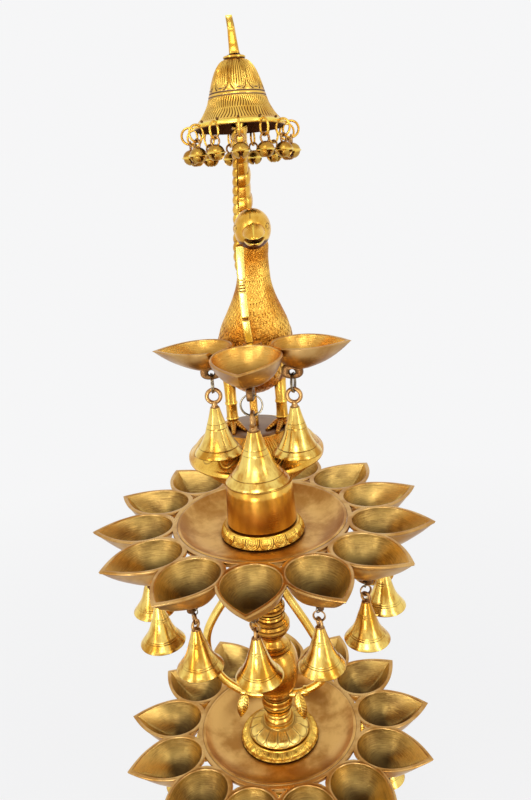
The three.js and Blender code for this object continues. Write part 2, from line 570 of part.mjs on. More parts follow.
const cluster = fuse(...clusterParts, hub).translate(CLUSTER_X, CLUSTER_Y, CLUSTER_Z);
add('breast_cups', cut(cluster, birdSkin(CLEARANCE)), cupBrass);

// Garland strip held in the beak, down to the hub of the cups: [x, y, z] over the upper tray
const GARLAND = [[7.6, -60, 290.5], [7, -60, 280], [6.6, -59, 262], [6.4, -58, 245], [7, -58, 222], [8.6, -57, 203.5]];
add('beak_garland', skin(GARLAND.map(([x, y, z]) => [[3, 1.3], [-3, 1.3], [-3, -1.3], [3, -1.3]].map(
  ([a, b]) => new THREE.Vector3(x + a, y + b, UPPER_TIER_Z + z),
))), castBrass);

export default lamp;
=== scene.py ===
import json
from math import atan2, copysign, cos, dist, floor, hypot, pi, radians, sin, sqrt

import bmesh
import bpy
from mathutils import Matrix, Vector


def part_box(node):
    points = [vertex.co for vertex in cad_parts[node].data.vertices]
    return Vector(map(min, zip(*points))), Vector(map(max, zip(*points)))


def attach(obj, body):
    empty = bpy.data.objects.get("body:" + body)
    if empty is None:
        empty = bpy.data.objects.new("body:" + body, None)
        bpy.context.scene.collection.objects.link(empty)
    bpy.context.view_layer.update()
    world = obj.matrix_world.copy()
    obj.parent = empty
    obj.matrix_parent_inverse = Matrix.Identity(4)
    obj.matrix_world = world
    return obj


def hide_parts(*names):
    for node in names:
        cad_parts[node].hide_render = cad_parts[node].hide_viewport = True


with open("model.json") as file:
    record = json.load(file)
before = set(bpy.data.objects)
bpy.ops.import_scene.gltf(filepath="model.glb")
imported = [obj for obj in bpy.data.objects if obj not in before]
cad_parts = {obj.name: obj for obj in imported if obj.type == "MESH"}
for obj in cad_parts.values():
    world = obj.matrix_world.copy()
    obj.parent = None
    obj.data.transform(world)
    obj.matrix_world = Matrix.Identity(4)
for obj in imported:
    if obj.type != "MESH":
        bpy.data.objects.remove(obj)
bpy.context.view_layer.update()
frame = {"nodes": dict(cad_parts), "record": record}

RECORD = frame["record"]
NODES = frame["nodes"]
MM = 0.001

# The photograph's frame and the camera, measured from the ellipses of the two trays
PHOTO_HEIGHT = 800
FOCAL_PIXELS = 713.6
SENSOR = 36.0
CAMERA_PLACE = Vector((0.0794, -0.6798, 0.9496))
CAMERA_PITCH = radians(17.842)
CAMERA_YAW = radians(-5.537)
CAMERA_ROLL = radians(-4.462)

# Sizes in millimetres that the pieces share
CUP_COUNT = 13
CUP_INNER = 92.0
CUP_TIP = 180.0
CUP_HALF_WIDTH = 31.6
CUP_DEPTH = 30.0
CUP_WALL = 3.4
CUP_WIDEST = 0.4
BELL_CIRCLE = 126.0
EYE_RADIUS = 4.5
EYE_WIRE = 1.5
EYE_SUNK = 2.2
RING_WIRE = 0.9
RING_BITE = 0.4
CLEARANCE = 0.35
UPPER_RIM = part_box("upper_cup_ring")[1].z / MM
LOWER_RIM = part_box("lower_cup_ring")[1].z / MM
LOWER_TURN = -10.9
BORE = 4.35
DISH_DROP = 17.0
DISH_UNDER = 20.35
FOOT_HEIGHT = 14.0
DOME_HEIGHT = 58.0
COLLAR_HEIGHT = 34.0
SEAT_TOP = 103.0
CANOPY_LIP = 389.0
ROUND = 96


class Socket:
    """A shader value that adds its own Math nodes."""

    def __init__(self, nodes, link):
        self.nodes = nodes
        self.link = link

    def math(self, operation, other):
        return self.nodes.node("ShaderNodeMath", {"operation": operation}, [self, other])

    def __add__(self, other):
        return self.math("ADD", other)

    __radd__ = __add__

    def __mul__(self, other):
        return self.math("MULTIPLY", other)

    __rmul__ = __mul__

    def at_least(self, other):
        return self.math("MAXIMUM", other)


class Nodes:
    """The node tree of a material or a world, whose nodes all come from one method."""

    def __init__(self, owner):
        owner.use_nodes = True
        self.tree = owner.node_tree

    def node(self, kind, settings, values=(), output=0, **named):
        """values feed the sockets in their order, or by index or name where they are a dictionary."""
        made = self.tree.nodes.new(kind)
        for key, value in settings.items():
            setattr(made, key, value)
        for index, value in values.items() if isinstance(values, dict) else enumerate(values):
            self.feed(made.inputs[index], value)
        for key, value in named.items():
            self.feed(made.inputs[key.replace("_", " ")], value)
        return Socket(self, made.outputs[output])

    def feed(self, socket, value):
        if isinstance(value, Socket):
            self.tree.links.new(value.link, socket)
        elif isinstance(value, tuple) and len(value) == 3 and socket.type == "RGBA":
            socket.default_value = (*value, 1.0)
        else:
            socket.default_value = value


class Shader(Nodes):
    """A material with one Principled shader."""

    def __init__(self, name):
        self.material = bpy.data.materials.new(name)
        super().__init__(self.material)
        self.principled = self.tree.nodes["Principled BSDF"]
        self.place = self.node("ShaderNodeTexCoord", {}, output="Object")

    def noise(self, scale, detail=3.0, place=None, rough=0.5):
        where = place or self.place
        return self.node("ShaderNodeTexNoise", {}, Vector=where, Scale=scale, Detail=detail,
            Roughness=rough)

    def stretched(self, scale):
        return self.node("ShaderNodeMapping", {}, Vector=self.place, Scale=scale)

    def between(self, value, low, high):
        """Zero at low, one at high, smooth on the way."""
        return self.node("ShaderNodeMapRange", {"interpolation_type": "SMOOTHSTEP"},
            [value, low, high, 0.0, 1.0])

    def mix(self, factor, first, second):
        return self.node("ShaderNodeMix", {"data_type": "RGBA"}, {0: factor, 6: first, 7: second}, output=2)

    def relief(self, height, strength, distance=0.001):
        return self.node("ShaderNodeBump", {}, Strength=strength, Distance=distance, Height=height)

    def finish(self, **inputs):
        for key, value in inputs.items():
            self.feed(self.principled.inputs[key.replace("_", " ")], value)
        return self.material


def brass(name, pale, deep, patina_and_shade, rough, marks, mark_depth, reach=0.006, clouds=(34.0, 34.0, 34.0),
        underside_shade=0.0, streaks=0.0):
    """Brass, pale where it is rubbed and where a highlight is painted, deep in clouds of tarnish, brown in
    carved lines, with painted shade in hollows found by an occlusion node and on faces that look down.

    marks(shader) gives the tool marks or the grain of the casting; streaks is their share in the tarnish.
    """
    shader = Shader(name)
    cloud = shader.noise(1.0, 5.0, shader.stretched(clouds), 0.6)
    facing = shader.node("ShaderNodeNewGeometry", {}, output="Normal")
    up = shader.node("ShaderNodeSeparateXYZ", {}, [facing], output=2)
    # Painted shade: this ambient occlusion feeds closed below, which darkens hollows, corners and the
    # bottoms of cups as if shade fell there.
    open_air = shader.node("ShaderNodeAmbientOcclusion", {"samples": 6}, output="AO", Distance=reach)
    # This attribute holds carving depth, and on some parts painted shade (above zero) and painted
    # highlights (below zero).
    carved = shader.node("ShaderNodeAttribute", {"attribute_name": "carving_and_painted_light"}, output="Fac")
    lines = marks(shader)
    gold = shader.mix(shader.between(cloud * (1.0 - streaks) + lines * streaks, 0.38, 0.64), pale, deep)
    # Pale where the attribute is negative: raised parts rubbed bright, and painted highlights on some lips,
    # ridges and cup tips.
    rubbed = shader.mix(shader.between(carved, -0.1, -1.0), gold,
        tuple(min(1.0, part * 1.3) for part in pale))
    closed = shader.between(open_air, 0.9, 0.3)
    # Painted shade: dark takes the carved lines, the occlusion shade and, by the underside factor, faces
    # that look down.
    dark = shader.between(carved, 0.0, 0.9).at_least(closed * 0.85).at_least(
        shader.between(up, 0.2, -0.8) * underside_shade)
    return shader.finish(Base_Color=shader.mix(dark, rubbed, patina_and_shade), Metallic=1.0,
        Roughness=lines * 0.12 + cloud * 0.12 + dark * 0.15 + (rough - 0.12),
        Normal=shader.relief(lines, mark_depth, 0.0005))


def sand_grain(shader):
    """Grain left by the sand mould, softened by polishing."""
    return shader.noise(1100.0, 3.0)


def punch_marks(shader):
    """Fine dots that the chaser punched into the feathers, over the grain."""
    dots = shader.node("ShaderNodeTexVoronoi", {"feature": "F1"}, Vector=shader.place, Scale=620.0,
        output=0)
    return shader.between(dots, 0.15, 0.6) + shader.noise(900.0, 2.0) * 0.4


def lathe_lines(shader):
    """Fine lines round the axis."""
    return shader.noise(1.0, 3.0, shader.stretched((26.0, 26.0, 2300.0))) * 0.5 + 0.25


def brush_strokes(shader):
    """Strokes of a wire brush along the walls."""
    return shader.noise(1.0, 4.0, shader.stretched((90.0, 90.0, 1500.0)), 0.65)


def hand_polish(shader):
    """Soft cloudy polish with a few fine scratches."""
    return shader.noise(60.0, 4.0) + shader.noise(1.0, 2.0, shader.stretched((1500.0, 90.0, 400.0))) * 0.5


CAST = brass("cast_brass", (0.96, 0.60, 0.11), (0.66, 0.32, 0.034), (0.12, 0.035, 0.006), 0.26, sand_grain,
    0.05)
FEATHER = brass("feather_brass", (0.97, 0.56, 0.095), (0.60, 0.225, 0.02), (0.20, 0.055, 0.006), 0.25,
    punch_marks, 0.7)
TURNED = brass("turned_brass", (0.84, 0.49, 0.09), (0.54, 0.23, 0.025), (0.12, 0.036, 0.008), 0.26,
    lathe_lines, 0.012, clouds=(30.0, 30.0, 12.0))
# Painted shade: bell_brass (0.3) and cup_brass (0.25) darken faces that look down, and cup_inside and
# bright_inside reach 30 mm with their occlusion, so the cup bottoms are painted dark.
BELL = brass("bell_brass", (0.93, 0.67, 0.17), (0.54, 0.245, 0.024), (0.16, 0.055, 0.009), 0.23,
    lathe_lines, 0.08, 0.004, (70.0, 70.0, 7.0), 0.3)
RUBBED = brass("rubbed_brass", (0.98, 0.70, 0.19), (0.74, 0.43, 0.07), (0.20, 0.075, 0.012), 0.25,
    sand_grain, 0.12)
COPPER = brass("loop_brass", (0.48, 0.27, 0.095), (0.33, 0.155, 0.05), (0.085, 0.03, 0.010), 0.33,
    sand_grain, 0.2)
CUP = brass("cup_brass", (0.66, 0.40, 0.14), (0.46, 0.22, 0.05), (0.12, 0.04, 0.010), 0.27, hand_polish,
    0.12, underside_shade=0.25)
INSIDE = brass("cup_inside", (0.68, 0.44, 0.12), (0.27, 0.15, 0.042), (0.055, 0.032, 0.012), 0.32,
    brush_strokes, 0.5, 0.03, (26.0, 26.0, 30.0), 0.0, 0.4)
BRIGHT_INSIDE = brass("bright_inside", (0.86, 0.50, 0.11), (0.56, 0.26, 0.036), (0.16, 0.065, 0.014), 0.28,
    brush_strokes, 0.4, 0.03, streaks=0.4)
DISH = brass("dish_brass", (0.74, 0.43, 0.13), (0.44, 0.20, 0.042), (0.14, 0.05, 0.012), 0.31, hand_polish,
    0.06, 0.02, (24.0, 24.0, 24.0))
STEEL = brass("ring_steel", (0.34, 0.28, 0.19), (0.17, 0.125, 0.075), (0.05, 0.035, 0.02), 0.24, sand_grain,
    0.1)
DULL = brass("dull_top", (0.30, 0.19, 0.115), (0.235, 0.14, 0.085), (0.08, 0.03, 0.012), 0.42, sand_grain,
    0.2)
SLOT_FINISH = {"cast_brass": CAST, "turned_brass": TURNED, "bell_brass": BELL, "cup_brass": CUP,
    "rod_steel": STEEL}

for part in RECORD["subparts"]:
    mesh = NODES[part["node"]].data
    mesh.materials.clear()
    mesh.materials.append(SLOT_FINISH[part["material_slot"]])


def blank():
    """An empty shape whose points can say how deep they are carved, and on some parts how much shade and
    highlight is painted on them.
    """
    shape = bmesh.new()
    shape.verts.layers.float.new("carving_and_painted_light")
    return shape


def shown(name, data):
    """An object in the scene, at the origin."""
    made = bpy.data.objects.new(name, data)
    bpy.context.scene.collection.objects.link(made)
    return made


def about(axis, degrees):
    return Matrix.Rotation(radians(degrees), 4, axis)


def join(shape, part, matrix=None, keep=False):
    """Adds a finished part to a shape."""
    held = bpy.data.meshes.new("held")
    part.to_mesh(held)
    if matrix is not None:
        held.transform(matrix)
    shape.from_mesh(held)
    bpy.data.meshes.remove(held)
    if not keep:
        part.free()


def piece(name, shape, finishes, node, body="lamp", place=(0.0, 0.0, 0.0), turn=0.0):
    """Makes a shape in millimetres a piece of the lamp, which rides on a body and stands for a node."""
    move = Matrix.Translation(Vector(place) * MM) @ about("Z", turn)
    bmesh.ops.transform(shape, matrix=move @ Matrix.Scale(MM, 4), verts=shape.verts)
    bmesh.ops.remove_doubles(shape, verts=shape.verts, dist=1e-6)
    bmesh.ops.recalc_face_normals(shape, faces=shape.faces)
    mesh = bpy.data.meshes.new(name)
    shape.to_mesh(mesh)
    shape.free()
    mesh.polygons.foreach_set("use_smooth", [True] * len(mesh.polygons))
    made = shown(name, mesh)
    for finish in finishes:
        mesh.materials.append(finish)
    mesh.set_sharp_from_angle(angle=radians(50))
    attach(made, body)
    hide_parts(node)


def skin(shape, surface, around, along, finish=0):
    """A grid bent onto surface(column, row), a place and how deep it is carved, a value that on some parts
    paints shade and highlights; edges that meet join.
    """
    carving_and_painted_light = shape.verts.layers.float["carving_and_painted_light"]
    made = bmesh.ops.create_grid(shape, x_segments=around, y_segments=along, size=0.5)["verts"]
    for vert in made:
        place, depth = surface(round((vert.co.x + 0.5) * around), round((vert.co.y + 0.5) * along))
        vert.co = place
        vert[carving_and_painted_light] = depth
        for face in vert.link_faces:
            face.material_index = finish
    bmesh.ops.remove_doubles(shape, verts=made, dist=1e-3)


def spin(shape, profile, steps=ROUND, finish=0):
    """A full turn of [radius, height] points about Z, some with how deep they are carved."""
    carving_and_painted_light = shape.verts.layers.float["carving_and_painted_light"]
    known = set(shape.faces)
    points = []
    for radius, height, *depth in profile:
        points.append(shape.verts.new((radius, 0.0, height)))
        points[-1][carving_and_painted_light] = depth[0] if depth else 0.0
    edges = [shape.edges.new(pair) for pair in zip(points, points[1:])]
    bmesh.ops.spin(shape, geom=points + edges, axis=(0, 0, 1), cent=(0, 0, 0), dvec=(0, 0, 0), angle=2 * pi,
        steps=steps, use_merge=True, use_duplicate=False)
    for face in shape.faces:
        if face not in known:
            face.material_index = finish
    bmesh.ops.remove_doubles(shape, verts=shape.verts, dist=1e-4)


def engraved(shape, profile, columns, pattern, depth, finish=0):
    """A turned surface of [radius, height] points, low to high, pushed in by pattern(turns, *point)."""
    rows = []
    last = len(profile) - 1
    ends = (-2, 1) if profile[0] == profile[last] else (0, last)
    for k, (radius, height) in enumerate(profile):
        before, after = profile[k - 1 if k else ends[0]], profile[k + 1 if k < last else ends[1]]
        run, rise = after[0] - before[0], after[1] - before[1]
        length = hypot(run, rise) or 1.0
        rows.append((radius, height, rise / length, -run / length))

    def surface(column, row):
        radius, height, outwards, upwards = rows[row]
        turns = column / columns
        cut = pattern(turns, radius, height) if radius > 0.01 else 0.0
        way = 2 * pi * turns
        reach = radius - outwards * cut * depth
        return (reach * cos(way), reach * sin(way), height - upwards * cut * depth), cut

    skin(shape, surface, columns, len(rows) - 1, finish)


def arc_points(centre, radius, start, end, count):
    """Points of an arc in the profile plane, angles in degrees."""
    steps = [radians(start + (end - start) * i / count) for i in range(count + 1)]
    return [(centre[0] + radius * cos(a), centre[1] + radius * sin(a)) for a in steps]


def eased(points, count=6):
    """A smooth curve through points."""
    found = []
    for i in range(len(points) - 1):
        before, here = points[max(i - 1, 0)], points[i]
        there, after = points[i + 1], points[min(i + 2, len(points) - 1)]
        for k in range(count):
            t = k / count
            found.append(tuple(0.5 * (2 * b + (c - a) * t + (2 * a - 5 * b + 4 * c - d) * t * t
                + (3 * b - a - 3 * c + d) * t ** 3) for a, b, c, d in zip(before, here, there, after)))
    return found + [tuple(points[-1])]


def even(points, step):
    """Points along a polyline, about a step apart."""
    found = []
    for here, there in zip(points, points[1:]):
        count = max(1, round(dist(here, there) / step))
        found += [tuple(a + (b - a) * k / count for a, b in zip(here, there)) for k in range(count)]
    return found + [tuple(points[-1])]


def fold(x):
    """Distance from the nearest whole number, with its sign."""
    return x - round(x)


def line(x, width):
    """Depth of an engraved line at a distance from its middle."""
    return max(0.0, 1.0 - abs(x) / width)


def on_circle(column, around):
    """Cosine and sine of a column's way round a loft."""
    way = 2 * pi * column / around
    return cos(way), sin(way)


def capped(row, last):
    """The ring that a row of a closed loft shows, and its size: the first and last rows close the ends."""
    ring = min(max(row - 1, 0), last)
    return ring, 1.0 if row == ring + 1 else 0.0


def squared(value, power):
    """A cosine or sine drawn out, so that a round section turns square."""
    return copysign(abs(value) ** power, value)


def deepest(value, *cuts):
    """Depth of the deepest of some engraved lines, each with its place, width and depth."""
    return max(depth * line(value - place, width) for place, width, depth in cuts)


def tube(shape, path, radii, side, around=16, finish=0, depths=None):
    """A rounded bar along a path that never runs along side, closed at both ends."""
    points = [Vector(p) for p in path]
    last = len(points) - 1
    side = Vector(side)

    def surface(column, row):
        k, size = capped(row, last)
        along = (points[min(k + 1, last)] - points[max(k - 1, 0)]).normalized()
        first = along.cross(side).normalized()
        second = along.cross(first)
        c, s = on_circle(column, around)
        place = points[k] + (first * c + second * s) * radii[k] * size
        return place, depths[k] if depths else 0.0

    skin(shape, surface, around, last + 2, finish)


def wire_ring(shape, radius, wire, centre, normal, finish=0, sides=10, steps=32, depth=0.0):
    """A round wire ring with its hole along X or Y."""
    centre = Vector(centre)

    def surface(column, row):
        way, turn = 2 * pi * row / steps, 2 * pi * column / sides
        reach = radius + wire * cos(turn)
        flat = (reach * cos(way), wire * sin(turn), reach * sin(way))
        return centre + Vector(flat if normal == "Y" else (flat[1], flat[0], flat[2])), depth

    skin(shape, surface, sides, steps, finish)


def lug(shape, centre, wide, up, down, hole, thick, finish=0):
    """A rounded cast block with a hole along Y for a split ring."""
    section = [(0.0, -0.6), (0.12, -0.95), (0.75, -1.0), (0.95, -0.8), (1.0, -0.3), (1.0, 0.3), (0.95, 0.8),
        (0.75, 1.0), (0.12, 0.95), (0.0, 0.6), (0.0, -0.6)]
    centre = Vector(centre)

    def surface(column, row):
        across, rise = on_circle(column, 40)
        tall = up if rise > 0 else down
        square = 3.0 if rise > 0 else 2.3
        edge = (abs(across / wide) ** square + abs(rise / tall) ** square) ** (-1 / square)
        share, height = section[row]
        reach = hole + (edge - hole) * share
        # Painted shade: the whole block is darkened (0.6, and 0.85 on the wall of its hole), as a block in
        # shadow.
        return centre + Vector((reach * across, height * thick / 2,
            reach * rise)), 0.85 if share < 0.1 else 0.6

    skin(shape, surface, 40, len(section) - 1, finish)


def camera():
    forward = Vector((sin(CAMERA_YAW) * cos(CAMERA_PITCH), cos(CAMERA_YAW) * cos(CAMERA_PITCH),
        -sin(CAMERA_PITCH)))
    right = Vector((cos(CAMERA_YAW), -sin(CAMERA_YAW), 0.0))
    up = right.cross(forward)
    rolled_right = right * cos(CAMERA_ROLL) + up * sin(CAMERA_ROLL)
    rolled_up = up * cos(CAMERA_ROLL) - right * sin(CAMERA_ROLL)
    data = bpy.data.cameras.new("camera")
    data.sensor_fit = "VERTICAL"
    data.sensor_height = SENSOR
    data.lens = SENSOR * FOCAL_PIXELS / PHOTO_HEIGHT
    view = shown("camera", data)
    turned = Matrix((rolled_right, rolled_up, -forward)).transposed().to_4x4()
    view.matrix_world = Matrix.Translation(CAMERA_PLACE) @ turned
    bpy.context.scene.camera = view


def petal_width(share):
    """Half width of a petal cup at a share of its length: round inner end, pointed tip."""
    if share < CUP_WIDEST:
        return sqrt(max(0.0, 1 - ((CUP_WIDEST - share) / CUP_WIDEST) ** 2))
    return 1 - ((share - CUP_WIDEST) / (1 - CUP_WIDEST)) ** 2


def petal_cup(shape, inner, tip, half_width, depth, wall, detail=1, web=0.0):
    """A cast petal cup along X, its rim at height 0: a straight keel under the tip and a rolled rim.

    The web widens the rim at the inner end, where neighbours are cast together.
    """
    half = 30 * detail
    middle = inner + CUP_WIDEST * (tip - inner)
    drops = (1.0, 0.99, 0.965, 0.92, 0.85, 0.76, 0.65, 0.53, 0.41, 0.3, 0.2, 0.11, 0.05)
    outside = [(0.0, share, 0.0, 0.0) for share in (drops[:-1] if web else drops)]
    if web:
        outside += [(0.0, 0.04, -1.7, 0.3), (0.0, 0.03, -1.3, 0.95)]
    rim = [(0.0, 0.04, 0.0, 1.0), (0.1, 0.0, -0.9, 1.0), (0.45, 0.0, -0.35, 1.0), (1.1, 0.0, 0.0, 0.9),
        (wall - 1.0, 0.0, 0.0, 0.0), (wall - 0.35, 0.0, -0.3, 0.0), (wall, 0.0, -0.9, 0.0)]
    inside = [(wall, share, -0.9, 0.0) for share in reversed(drops)]

    def outline(column, inset, widened):
        around = abs(fold(column / (2 * half))) * 2
        spread = 0.5 + 2.2 * around if around < 0.23 else max(0.0, 1.0 - abs(around - 0.3) * 2.8)
        inset -= widened * web * spread
        share = CUP_WIDEST * (1 - cos(pi / 2 * around / 0.45)) if around < 0.45 else (
            CUP_WIDEST + (1 - CUP_WIDEST) * (around - 0.45) / 0.55)
        low, high = inner + inset, tip - 1.9 * inset
        across = (half_width - inset) * petal_width(share)
        return low + (high - low) * share, across if column <= half else -across

    def wall_surface(levels):
        def surface(column, row):
            inset, share, lift, widened = levels[row]
            x, y = outline(column, inset, widened)
            across = (1 - share ** 1.333) ** 0.385
            along = (1 - share) ** 0.526
            deep = depth if inset == 0.0 else depth - wall
            fade = max(0.0, 1 - 4 * share)
            x = middle + (x - middle) * (along if x > middle else across)
            outer = max(0.0, (x - middle) / (tip - middle))
            shade = 0.75 * share * (1 - outer) - 0.8 * outer ** 0.7 if inset == wall else 0.0
            return (x, y * across, -deep * share + lift * fade), shade
        return surface

    skin(shape, wall_surface(outside + rim), 2 * half, len(outside + rim) - 1, 0)
    skin(shape, wall_surface([rim[-1]] + inside), 2 * half, len(inside), 1)
    bmesh.ops.remove_doubles(shape, verts=shape.verts, dist=1e-3)


def tray(tier, rim, turn):
    """The ring of cast cups, joined at their rims, with a pierced block under each, and the turned dish."""
    half_sector = pi / CUP_COUNT
    cup = blank()
    petal_cup(cup, CUP_INNER, CUP_TIP, CUP_HALF_WIDTH, CUP_DEPTH, CUP_WALL, web=2.8)
    for side in (1, -1):
        everything = cup.verts[:] + cup.edges[:] + cup.faces[:]
        bmesh.ops.bisect_plane(cup, geom=everything, dist=1e-5, plane_co=(0, 0, 0), clear_outer=True,
            plane_no=(-sin(half_sector), cos(half_sector) * side, 0.0))
    eye_drop = CUP_DEPTH - EYE_SUNK + EYE_RADIUS + EYE_WIRE
    held = blank()
    lug(held, (BELL_CIRCLE, 0, -eye_drop), 8.6, 6.4, 5.6, EYE_RADIUS - EYE_WIRE, 3.4, 2)
    join(cup, held)
    ring = blank()
    for i in range(CUP_COUNT):
        join(ring, cup, Matrix.Rotation(2 * pi * i / CUP_COUNT, 4, "Z"), keep=True)
    cup.free()
    bmesh.ops.remove_doubles(ring, verts=ring.verts, dist=0.01)
    spin(ring, [(90.1, -6.0), (93.8, -6.0), (95.2, -3.0), (95.4, -0.6), (95.0, -0.05), (91.0, -0.05),
        (90.1, -0.8), (90.1, -6.0)], 156)
    node = f"{tier}_cup_ring"
    piece(f"{tier}_cups_cast", ring, [CUP, INSIDE, COPPER], node, place=(0, 0, rim),
        turn=turn - 90)

    dish = blank()
    top = eased([(6.0, -17.0), (48.0, -17.0), (65.0, -15.5), (78.0, -9.5), (86.2, -1.6)], 8)
    under = eased([(89.6, -2.2), (81.0, -11.6), (66.0, -18.5), (44.0, -20.0), (6.0, -20.0)], 8)
    spin(dish, top[1:] + [(86.8, -0.5), (87.6, 0.0), (89.2, 0.05), (90.0, -0.6)] + under[:-1]
        + [(6.0, -20.0), top[1]], 128)
    piece(f"{tier}_dish_turned", dish, [DISH], f"{tier}_dish", place=(0, 0, rim))


def bell_wall(radius, height, grooves):
    """Outside of a bell from its crown down, flared at the lip, with turned lines."""
    shares = [(0.0, 0.19), (0.2, 0.29), (0.4, 0.41), (0.58, 0.52), (0.72, 0.64), (0.83, 0.765),
        (0.91, 0.88), (0.96, 0.955), (1.0, 0.998)]
    wall = eased([(share * radius, -t * height) for t, share in shares], 7)
    found = []
    for (r0, z0), (r1, z1) in zip(wall, wall[1:]):
        found.append((r0, z0))
        for groove in grooves:
            at = -groove * height
            if z1 < at <= z0:
                r = r0 + (r1 - r0) * (z0 - at) / (z0 - z1)
                found += [(r, at + 0.3), (r - 0.35, at, 0.9), (r, at - 0.3)]
    return found + [wall[-1]]


def bell(name, size, loop, ring_radius, neck, place, turn, grooves):
    """A bell with its loop, rings and clapper, made round the point where it hangs in its eye.

    A bell without a neck hangs on a small steel link and a double coil, the others on a split ring.
    """
    radius, height = size
    loop_radius, loop_wire = loop
    middle = -2 * ring_radius - loop_radius + loop_wire + RING_WIRE - RING_BITE
    crown = middle - loop_radius - 0.6 - neck
    shell = blank()
    wall = 1.7
    outside = [(0.0, 0.2), (0.19 * radius - 0.5, 0.15)] + bell_wall(radius, height, grooves)
    inside = [(r - wall, z - 0.6) for r, z in eased([(radius, 0.6 - height), (0.86 * radius, -0.9 * height),
        (0.525 * radius, -0.6 * height), (0.24 * radius, -1.0)], 5)]
    lip = arc_points((radius - wall / 2, -height), wall / 2, 0, -180, 4)
    spin(shell, outside + lip + inside[1:] + [(0.0, -3.5)], 64)
    bmesh.ops.translate(shell, verts=shell.verts, vec=(0, 0, crown))
    tongue = blank()
    spin(tongue, eased([(0.0, crown - 3.0), (1.0, crown - 3.2), (1.0, crown - 0.58 * height),
        (0.16 * radius, crown - 0.68 * height), (0.17 * radius, crown - 0.76 * height),
        (0.1 * radius, crown - 0.83 * height), (0.0, crown - 0.84 * height)], 4)[:-1]
        + [(0.0, crown - 0.84 * height)], 16, 2)
    join(shell, tongue)
    collar = blank()
    base = 0.17 * radius
    spin(collar, [(0.0, crown - 0.6), (base, crown - 0.6, 0.5), (base, crown + 0.5, 0.5),
        (0.8 * base, crown + 1.2), (0.66 * base, crown + 0.55 * neck + 0.8),
        (0.72 * base, crown + neck + 1.2), (0.0, crown + neck + 1.6)], 24, 2)
    join(shell, collar)
    wire_ring(shell, loop_radius, loop_wire, (0, 0, middle), "Y", 2, 12, 36)
    drop, ring_radius, turned, finish = 0.0, ring_radius + 0.2, 0.0, 1
    if neck == 0.0:
        link = blank()
        wire_ring(link, 3.6, 0.55, (0, 0, -3.6), "X", 1, 8, 24)
        join(shell, link, about("Z", 20))
        drop, ring_radius, turned, finish = 5.6, ring_radius - 2.75, -35.0, 2
    coils = blank()
    for coil in (-0.5, 0.5):
        wire_ring(coils, ring_radius + 0.5 * coil, 0.64, (1.25 * coil, 0, -drop - ring_radius), "X", finish,
            8, 40)
    join(shell, coils, about("Z", turned))
    piece(f"{name}_polished", shell, [BELL, STEEL, COPPER], name, name, place, turn)


def tray_bells(tier, rim, turn):
    eye_drop = CUP_DEPTH - EYE_SUNK + EYE_RADIUS + EYE_WIRE
    hang = rim - eye_drop - (EYE_RADIUS - EYE_WIRE - RING_WIRE - CLEARANCE)
    for i in range(CUP_COUNT):
        angle = -90 + turn + 360 / CUP_COUNT * i
        way = radians(angle)
        place = (BELL_CIRCLE * cos(way), BELL_CIRCLE * sin(way), hang)
        bell(f"{tier}_bell_{i + 1}", (23.0, 42.0), (EYE_RADIUS, EYE_WIRE), 8.0, 0.0, place, angle,
            (0.3, 0.345, 0.8, 0.84))


# The three cups before the breast. The eye: angle round their hub, cup floor, reach, dip.
# The bell: size, ring radius. The cup: angle, inner end, half width, depth, dip.
HUB = (10.5, -55.0, 803.0)
BREAST_EYE_WIRE = 2.0
FRONT_CUP_TURN = -92.5
BREAST_CUPS = {"left_breast_bell": ((-172.0, 20.8, 39.0, 0.0), ((23.0, 44.0), 8.6),
    (-172.0, 16.0, 30.0, 20.8, 0.0)), "front_breast_bell": ((-90.0, 25.0, 47.0, 7.0), ((28.8, 46.0), 9.3),
    (FRONT_CUP_TURN, 6.0, 31.8, 27.0, 3.8)), "right_breast_bell": ((-8.0, 24.0, 35.5, 0.0),
    ((23.0, 44.0), 8.6), (-8.0, 16.0, 30.0, 24.0, 0.0))}


def cut_for_front_cup(cup, between):
    """Ends a side cup along a chord of the front cup's wall; between is the angle from one to the other."""
    side = copysign(1.0, between)
    ahead = Vector((cos(between), sin(between), 0.0))
    aside = Vector((abs(sin(between)), -side * cos(between), 0.0))
    geometry = cup.verts[:] + cup.edges[:] + cup.faces[:]
    bmesh.ops.bisect_plane(cup, geom=geometry, dist=1e-5, clear_outer=True,
        plane_co=ahead * 10.2 + aside * 15.5, plane_no=(ahead * 15.5 - aside * 21.0).normalized())
    bmesh.ops.holes_fill(cup, edges=[edge for edge in cup.edges if edge.is_boundary], sides=0)


